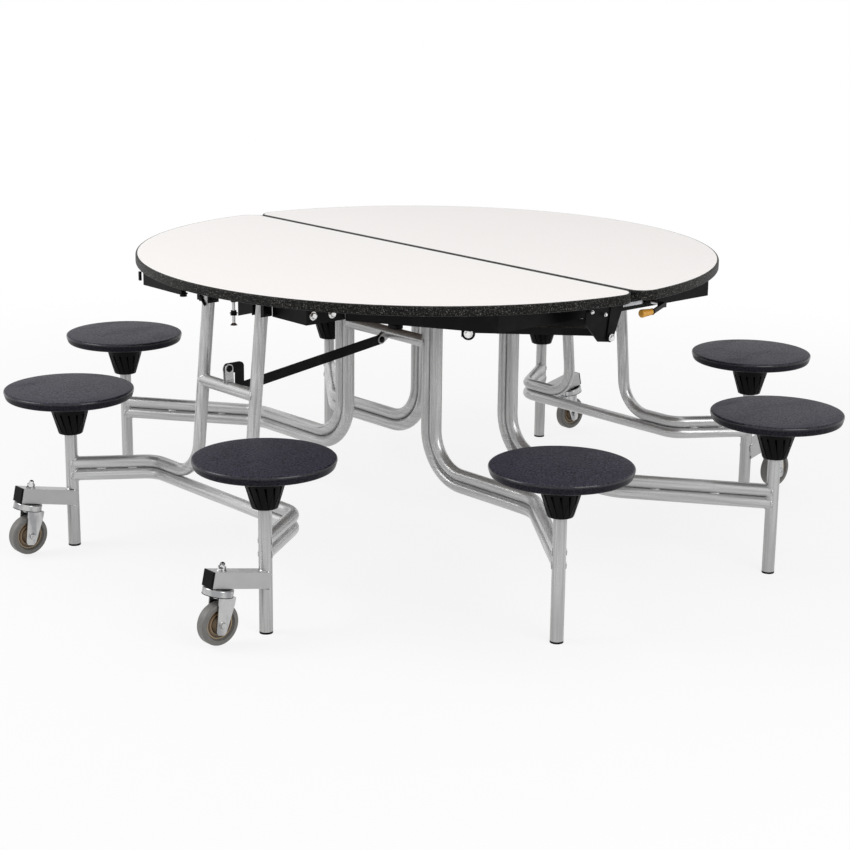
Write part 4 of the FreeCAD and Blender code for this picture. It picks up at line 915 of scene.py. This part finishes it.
# %% A lug behind the tie bolt
def make_lug():
    lug = settle(drum("lug", LUG_RADIUS, LUG_THICK, TIE_BOLT + TIE_SIDE * LUG_THICK / 2,
                      sides=40, axis=TIE_SIDE))
    edit(lug)
    pick(lug, "FACE", lambda face: face.normal.z > 0.12)
    bpy.ops.transform.translate(value=(0, 0, UNDERSIDE - 0.0002 - TIE_BOLT.z - LUG_RADIUS))
    bpy.ops.transform.resize(value=(1.5, 1.5, 0.02),
                             center_override=(TIE_BOLT.x, TIE_BOLT.y, UNDERSIDE - 0.0003))
    return settle(lug, 30)


both_halves(make_lug(), "tie_lug", "top", *BLACK_STEEL)

# %% [markdown]
# The pivots of the leg frames are bolted through from both sides. Their heads are painted with the
# brackets, so they share the black finish. Each row of the table gives how far across a pivot lies, how
# far its bracket reaches to each side, its distance from the seam and its height.

# %% Pivot bolts on the brackets
PIVOTS = ((0.1095, 0.0194, -0.62524, 0.6795), (0.177, 0.0323, -0.136, 0.685))
pivot_bolts = []
for across, reach, out, high in PIVOTS:
    for sign in (1, -1):
        for way in (1, -1):
            start = (sign * across + way * reach, out, high)
            pivot_bolts.append(hex_bolt("pivot_bolt", start, (way, 0, 0), 0.0095, 0.0042, 1.2))
print("pivot bolts:", len(pivot_bolts))
both_halves(join("pivot_bolts", pivot_bolts), "pivot_bolts", "top", *BLACK_STEEL)

# %% [markdown]
# Small fittings carry on from here. The long bumper screw and the short stop screw are threaded, so both
# get nuts and a wide washer.

# %% Nuts and washers on the threaded feet
def hex_nut(name, place, width=0.0078, height=0.0055, hole=0.0042):
    """A nut with chamfered corners; an inset marks its hole, which the thread fills."""
    piece = settle(drum(name, width, height, place, sides=6))
    edit(piece)
    pick(piece, "EDGE", lambda edge: abs(edge.verts[0].co.z - edge.verts[1].co.z) < 1e-6)
    bevel(0.0008)
    for face_up in (1, -1):
        pick(piece, "FACE", lambda face: face.normal.z * face_up > LEVEL)
        bpy.ops.mesh.inset(thickness=width - 0.0008 - hole)
    return settle(piece, 30)


def wide_washer(name, place, radius):
    """A pressed washer, turned down a little at its rim."""
    piece = settle(drum(name, radius, 0.002, place, sides=40))
    edit(piece)
    pick(piece, "FACE", lambda face: face.normal.z > LEVEL)
    bpy.ops.mesh.inset(thickness=0.35 * radius)
    bpy.ops.transform.translate(value=(0, 0, 0.0014))
    pick(piece, "EDGE", lambda edge: abs(edge.verts[0].co.z - edge.verts[1].co.z) < 1e-6
         and all((v.co - Vector(place)).xy.length > 0.95 * radius for v in edge.verts))
    bevel(0.0005)
    return settle(piece, 35)


BUMPER = Vector((-BUMPER_ACROSS, -BUMPER_OUT, 0))
STOP = Vector((-0.246, -0.608, 0))
feet_fittings = [
    hex_nut("bumper_nut", BUMPER + UP * 0.6815),
    hex_nut("bumper_lock_nut", BUMPER + UP * 0.655),
    wide_washer("bumper_washer", BUMPER + UP * 0.651, PAD_RADIUS),
    hex_nut("stop_nut", STOP + UP * 0.6665),
    wide_washer("stop_washer", STOP + UP * 0.6625, 0.0115),
]
both_halves(join("feet_fittings", feet_fittings), "feet_fittings", "top", *BLACK_STEEL)

# %% [markdown]
# The braces hang on riveted pins. A rivet head is a low drum whose end is drawn in by stages.

# %% Rivets of the braces
def dome(name, radius, height, base, axis):
    """A rivet head: a drum whose end is drawn in by stages."""
    axis = Vector(axis).normalized()
    base = Vector(base)
    piece = settle(drum(name, radius, height * 0.3, base + axis * height * 0.15, sides=28, axis=axis))
    edit(piece)
    pick(piece, "FACE", lambda face: face.normal.dot(axis) > LEVEL)
    for width, rise in ((0.10, 0.22), (0.18, 0.22), (0.26, 0.17), (0.26, 0.09)):
        bpy.ops.mesh.inset(thickness=width * radius)
        bpy.ops.transform.translate(value=axis * (rise * height))
    return settle(piece, 45)


BRACE_ENDS = (("rim", -0.64924, 0.5185), ("centre", -0.160, 0.524))
RIVET_RADIUS = 0.0085
RIVET_HEIGHT = 0.005
RIVET_ACROSS = 0.0062
for frame_name, out, high in BRACE_ENDS:
    rivets = [dome("rivet", RIVET_RADIUS, RIVET_HEIGHT, (way * RIVET_ACROSS, out, high), (way, 0, 0))
              for way in (1, -1)]
    both_halves(join("rivets", rivets), f"{frame_name}_brace_rivets", f"{frame_name}_frame",
                *BLACK_STEEL)

# %% [markdown]
# A square arm meets its round post in a curve above and below and in two upright lines. The curves are
# halves of a torus: the faces on the far side of the post are picked and deleted, and the open ends are
# filled.

# %% Beads of the caster arms
ARM_OUT = Vector((0, -math.cos(ARM_PITCH), math.sin(ARM_PITCH)))
ARM_UP = Vector((0, math.sin(ARM_PITCH), math.cos(ARM_PITCH)))


def arm_beads(sign):
    foot = Vector((sign * ARM_FOOT.x, ARM_FOOT.y, ARM_FOOT.z))
    beads = []
    for way in (1, -1):
        begin()
        centre = foot + Vector((0, 0, way * (ARM_SIZE / 2 + 0.0004) / math.cos(ARM_PITCH)))
        bpy.ops.mesh.primitive_torus_add(major_segments=64, minor_segments=8,
                                         major_radius=TUBE_RADIUS + 0.0008, minor_radius=0.0021,
                                         location=centre, rotation=(-ARM_PITCH, 0, 0))
        bead = settle(bpy.context.object, 60)
        edit(bead)
        pick(bead, "FACE", lambda face: (middle(face) - centre).dot(ARM_OUT) < 0.001)
        bpy.ops.mesh.delete(type="FACE")
        bpy.ops.mesh.select_all(action="SELECT")
        bpy.ops.mesh.fill_holes(sides=0)
        beads.append(settle(bead, 60))
    for side in (1, -1):
        place = foot + Vector((side * (TUBE_RADIUS + SUNK), 0, 0)) + ARM_OUT * 0.0024
        beads.append(tack("arm_tack", place, UP))
    return join("arm_beads", beads)


arm_welds = join("arm_welds", [arm_beads(1), arm_beads(-1)])
both_halves(arm_welds, "arm_welds", "rim_frame", arm_coat, "frame_steel")
print("arm weld faces:", len(arm_welds.data.polygons))

# %% [markdown]
# The casters have their own small parts: a moulded dimple in each end plug, a nut in the dish of each
# swivel head and the nuts of the axle. Two thin black rings round each stem, the race and the seal, are
# painted shade: dark rings standing in for the shade in the gaps of the swivel head. Their places are
# measured along the sloping arm and square to it.

# %% End plugs, swivel heads and axle nuts
def arm_point(sign, along, lift):
    """A place measured along a caster arm from its post, and square to it."""
    foot = Vector((sign * ARM_FOOT.x, ARM_FOOT.y, ARM_FOOT.z))
    return foot + ARM_OUT * along + ARM_UP * lift


def shade_ring_on_stem(name, sign, radius, thick, lift):
    """A thin dark ring round a caster's stem, put in as painted shade in a gap of the swivel head."""
    place = arm_point(sign, STEM_OUT, lift)
    return settle(drum(name, radius, thick, place, sides=64, axis=ARM_UP), 30)


STEM_OUT = 0.130
FORK_HALF = 0.0205
PLUG_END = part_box("near_end_plugs")[0].y
PLUG_FACE = (ARM_FOOT.y - PLUG_END - ARM_SIZE / 2 * math.sin(ARM_PITCH)) / math.cos(ARM_PITCH)
for hand, sign in (("right", 1), ("left", -1)):
    dimple = dome("dimple", 0.0042, 0.0014, arm_point(sign, PLUG_FACE - 0.0006, 0), ARM_OUT)
    both_halves(dimple, f"{hand}_plug_dimple", "rim_frame", *BLACK_PLASTIC)
    nut_at = arm_point(sign, STEM_OUT, -0.0224)
    head_nut = settle(drum("head_nut", 0.0115, 0.0022, nut_at, sides=6, axis=ARM_UP))
    edit(head_nut)
    pick(head_nut, "FACE", lambda face: face.normal.dot(ARM_UP) > LEVEL)
    bevel(0.0006)
    both_halves(settle(head_nut, 30), f"{hand}_head_nut", f"{hand}_caster", zinc_plate, "chrome")
    axle_at = Vector(joints[f"near_{hand}_wheel_spin"]["pos_m"])
    nuts = [hex_bolt("axle_nut", axle_at + Vector((way * FORK_HALF, 0, 0)), (way, 0, 0),
                     0.0078, 0.0052, 1.2) for way in (1, -1)]
    both_halves(join("axle_nuts", nuts), f"{hand}_axle_nuts", f"{hand}_caster", zinc_plate, "chrome")
    # The race and seal rings are painted shade: black rings in the gaps of the swivel head.
    race = [shade_ring_on_stem("race", sign, 0.0293, 0.0008, -0.0231),
            shade_ring_on_stem("seal", sign, 0.0363, 0.0016, -0.0366)]
    both_halves(join("race", race), f"{hand}_race", f"{hand}_caster", *BLACK_PLASTIC)
print("plug face", round(PLUG_FACE, 4))

# %% [markdown]
# The last small parts are easy to miss: the little catch that keeps the rim frame square, a rubber stop
# on the centre frame's cross tube, a tab at the apron, and the collar that holds the amber grip.

# %% The catch, the stops and the grip's collar
def rod_between(name, start, end, radius, sides=20):
    """A straight rod with softened ends."""
    start = Vector(start)
    end = Vector(end)
    along = (end - start).normalized()
    piece = settle(drum(name, radius, (end - start).length, (start + end) / 2, sides=sides, axis=along))
    edit(piece)
    pick(piece, "FACE", lambda face: abs(face.normal.dot(along)) > LEVEL)
    bevel(radius * 0.25)
    return settle(piece, 40)


def soft_block(name, size, place, round_off):
    """A small block with all its edges rounded."""
    piece = settle(block(name, size, place))
    edit(piece)
    bpy.ops.mesh.select_all(action="SELECT")
    bevel(round_off, 3)
    return settle(piece, 40)


catch = join("catch", [
    rod_between("catch_rod", (-0.1185, -0.6455, 0.6795), (-0.0975, -0.6455, 0.6600), 0.0034),
    rod_between("catch_stud", (-0.113, -0.636, 0.6765), (-0.113, -0.6475, 0.6765), 0.0042),
])
both_halves(catch, "frame_catch", "rim_frame", *BLACK_STEEL)
cross_stop = soft_block("cross_stop", (0.036, 0.024, 0.013), (0.032, -0.136, 0.5615), 0.003)
both_halves(cross_stop, "cross_stop", "centre_frame", *BLACK_PLASTIC)
apron_tab = soft_block("apron_tab", (0.008, 0.006, 0.024), (-0.431, -0.616, 0.681), 0.0012)
both_halves(apron_tab, "apron_tab", "top", *BLACK_STEEL)

GRIP_ACROSS = -0.703
grip_low, grip_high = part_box("near_latch_grip")
collar_at = Vector((GRIP_ACROSS, grip_low.y + 0.0005, (grip_low.z + grip_high.z) / 2))
collar = settle(drum("collar", 0.0082, 0.005, collar_at, sides=36, axis=(0, 1, 0)))
edit(collar)
pick(collar, "FACE", lambda face: abs(face.normal.y) > LEVEL)
bevel(0.0012, 3)
both_halves(settle(collar, 35), "grip_collar", "latch_lever", *BLACK_PLASTIC)

# %% [markdown]
# The stage is a pale floor that fades into a white surround. Light Path tells it whether the camera or a
# reflection is looking: they see plain white, while the object's light still comes from even, soft lamps.
# Each lamp's row gives its name, its place, what it aims at, its power and its size.

# %% Floor, surround and lamps
FADE_START = 1.4
FADE_END = 3.6
PAPER_GLOW = 0.84
WHITE = (1, 1, 1, 1)
LAMPS = (
    ("key", (-1.8, -3.6, 3.0), (0, 0, 0.4), 100, 2.4),
    ("fill", (3.9, -0.6, 2.2), (0, 0, 0.4), 58, 2.2),
    ("overhead", (0.6, 0.2, 4.6), (0, 0, 0.5), 19, 2.6),
)


def larger(tree, first, second):
    """The larger of two outputs."""
    return add_node(tree, "ShaderNodeMath", {"operation": "MAXIMUM"}, {0: first, 1: second}).outputs[0]


def end_in_mix(tree, ending, share, first, second):
    """Ends a tree in a mix of two shaders."""
    both = {0: share, 1: first.outputs[0], 2: second.outputs[0]}
    choose = add_node(tree, "ShaderNodeMixShader", inputs=both)
    tree.links.new(choose.outputs[0], tree.nodes[ending].inputs[0])


def make_stage():
    bpy.ops.object.select_all(action="DESELECT")
    bpy.ops.mesh.primitive_plane_add(size=80, location=(0, 0, 0))
    floor = bpy.context.object
    floor.name = "floor"
    paper = bpy.data.materials.new("paper_floor")
    paper.use_nodes = True
    tree = paper.node_tree
    lit = tree.nodes["Principled BSDF"]
    lit.inputs["Base Color"].default_value = (0.80, 0.80, 0.80, 1)
    lit.inputs["Roughness"].default_value = 1.0
    lit.inputs["Specular IOR Level"].default_value = 0.0
    glow = add_node(tree, "ShaderNodeEmission", inputs={"Color": WHITE})
    place = add_node(tree, "ShaderNodeTexCoord").outputs["Object"]
    far = add_node(tree, "ShaderNodeVectorMath", {"operation": "LENGTH"}, {0: place}).outputs["Value"]
    fade = add_node(tree, "ShaderNodeMapRange", {"interpolation_type": "SMOOTHSTEP"},
                    {0: far, 1: FADE_START, 2: FADE_END, 3: PAPER_GLOW, 4: 1.0}).outputs[0]
    path = add_node(tree, "ShaderNodeLightPath").outputs
    seen = larger(tree, path["Is Camera Ray"], path["Is Glossy Ray"])
    share = add_node(tree, "ShaderNodeMath", {"operation": "MULTIPLY"}, {0: seen, 1: fade}).outputs[0]
    end_in_mix(tree, "Material Output", share, lit, glow)
    floor.data.materials.append(paper)


def make_surround(strength):
    world = bpy.data.worlds.new("surround")
    bpy.context.scene.world = world
    world.use_nodes = True
    tree = world.node_tree
    sky = tree.nodes["Background"]
    sky.inputs["Color"].default_value = WHITE
    sky.inputs["Strength"].default_value = strength
    plain = add_node(tree, "ShaderNodeBackground", inputs={"Color": WHITE, "Strength": 1.0})
    path = add_node(tree, "ShaderNodeLightPath").outputs
    seen = larger(tree, path["Is Camera Ray"], path["Is Glossy Ray"])
    seen = larger(tree, seen, path["Is Transmission Ray"])
    end_in_mix(tree, "World Output", seen, sky, plain)


def add_lamp(name, place, aim, power, size):
    """A square lamp at a place, turned to its aim."""
    data = bpy.data.lights.new(name, "AREA")
    data.energy = power
    data.size = size
    lamp = bpy.data.objects.new(name, data)
    lamp.location = place
    lamp.rotation_euler = (Vector(aim) - Vector(place)).to_track_quat("-Z", "Y").to_euler()
    bpy.context.scene.collection.objects.link(lamp)


make_stage()
make_surround(0.55)
for lamp in LAMPS:
    add_lamp(*lamp)
bpy.context.scene.view_settings.view_transform = "Standard"
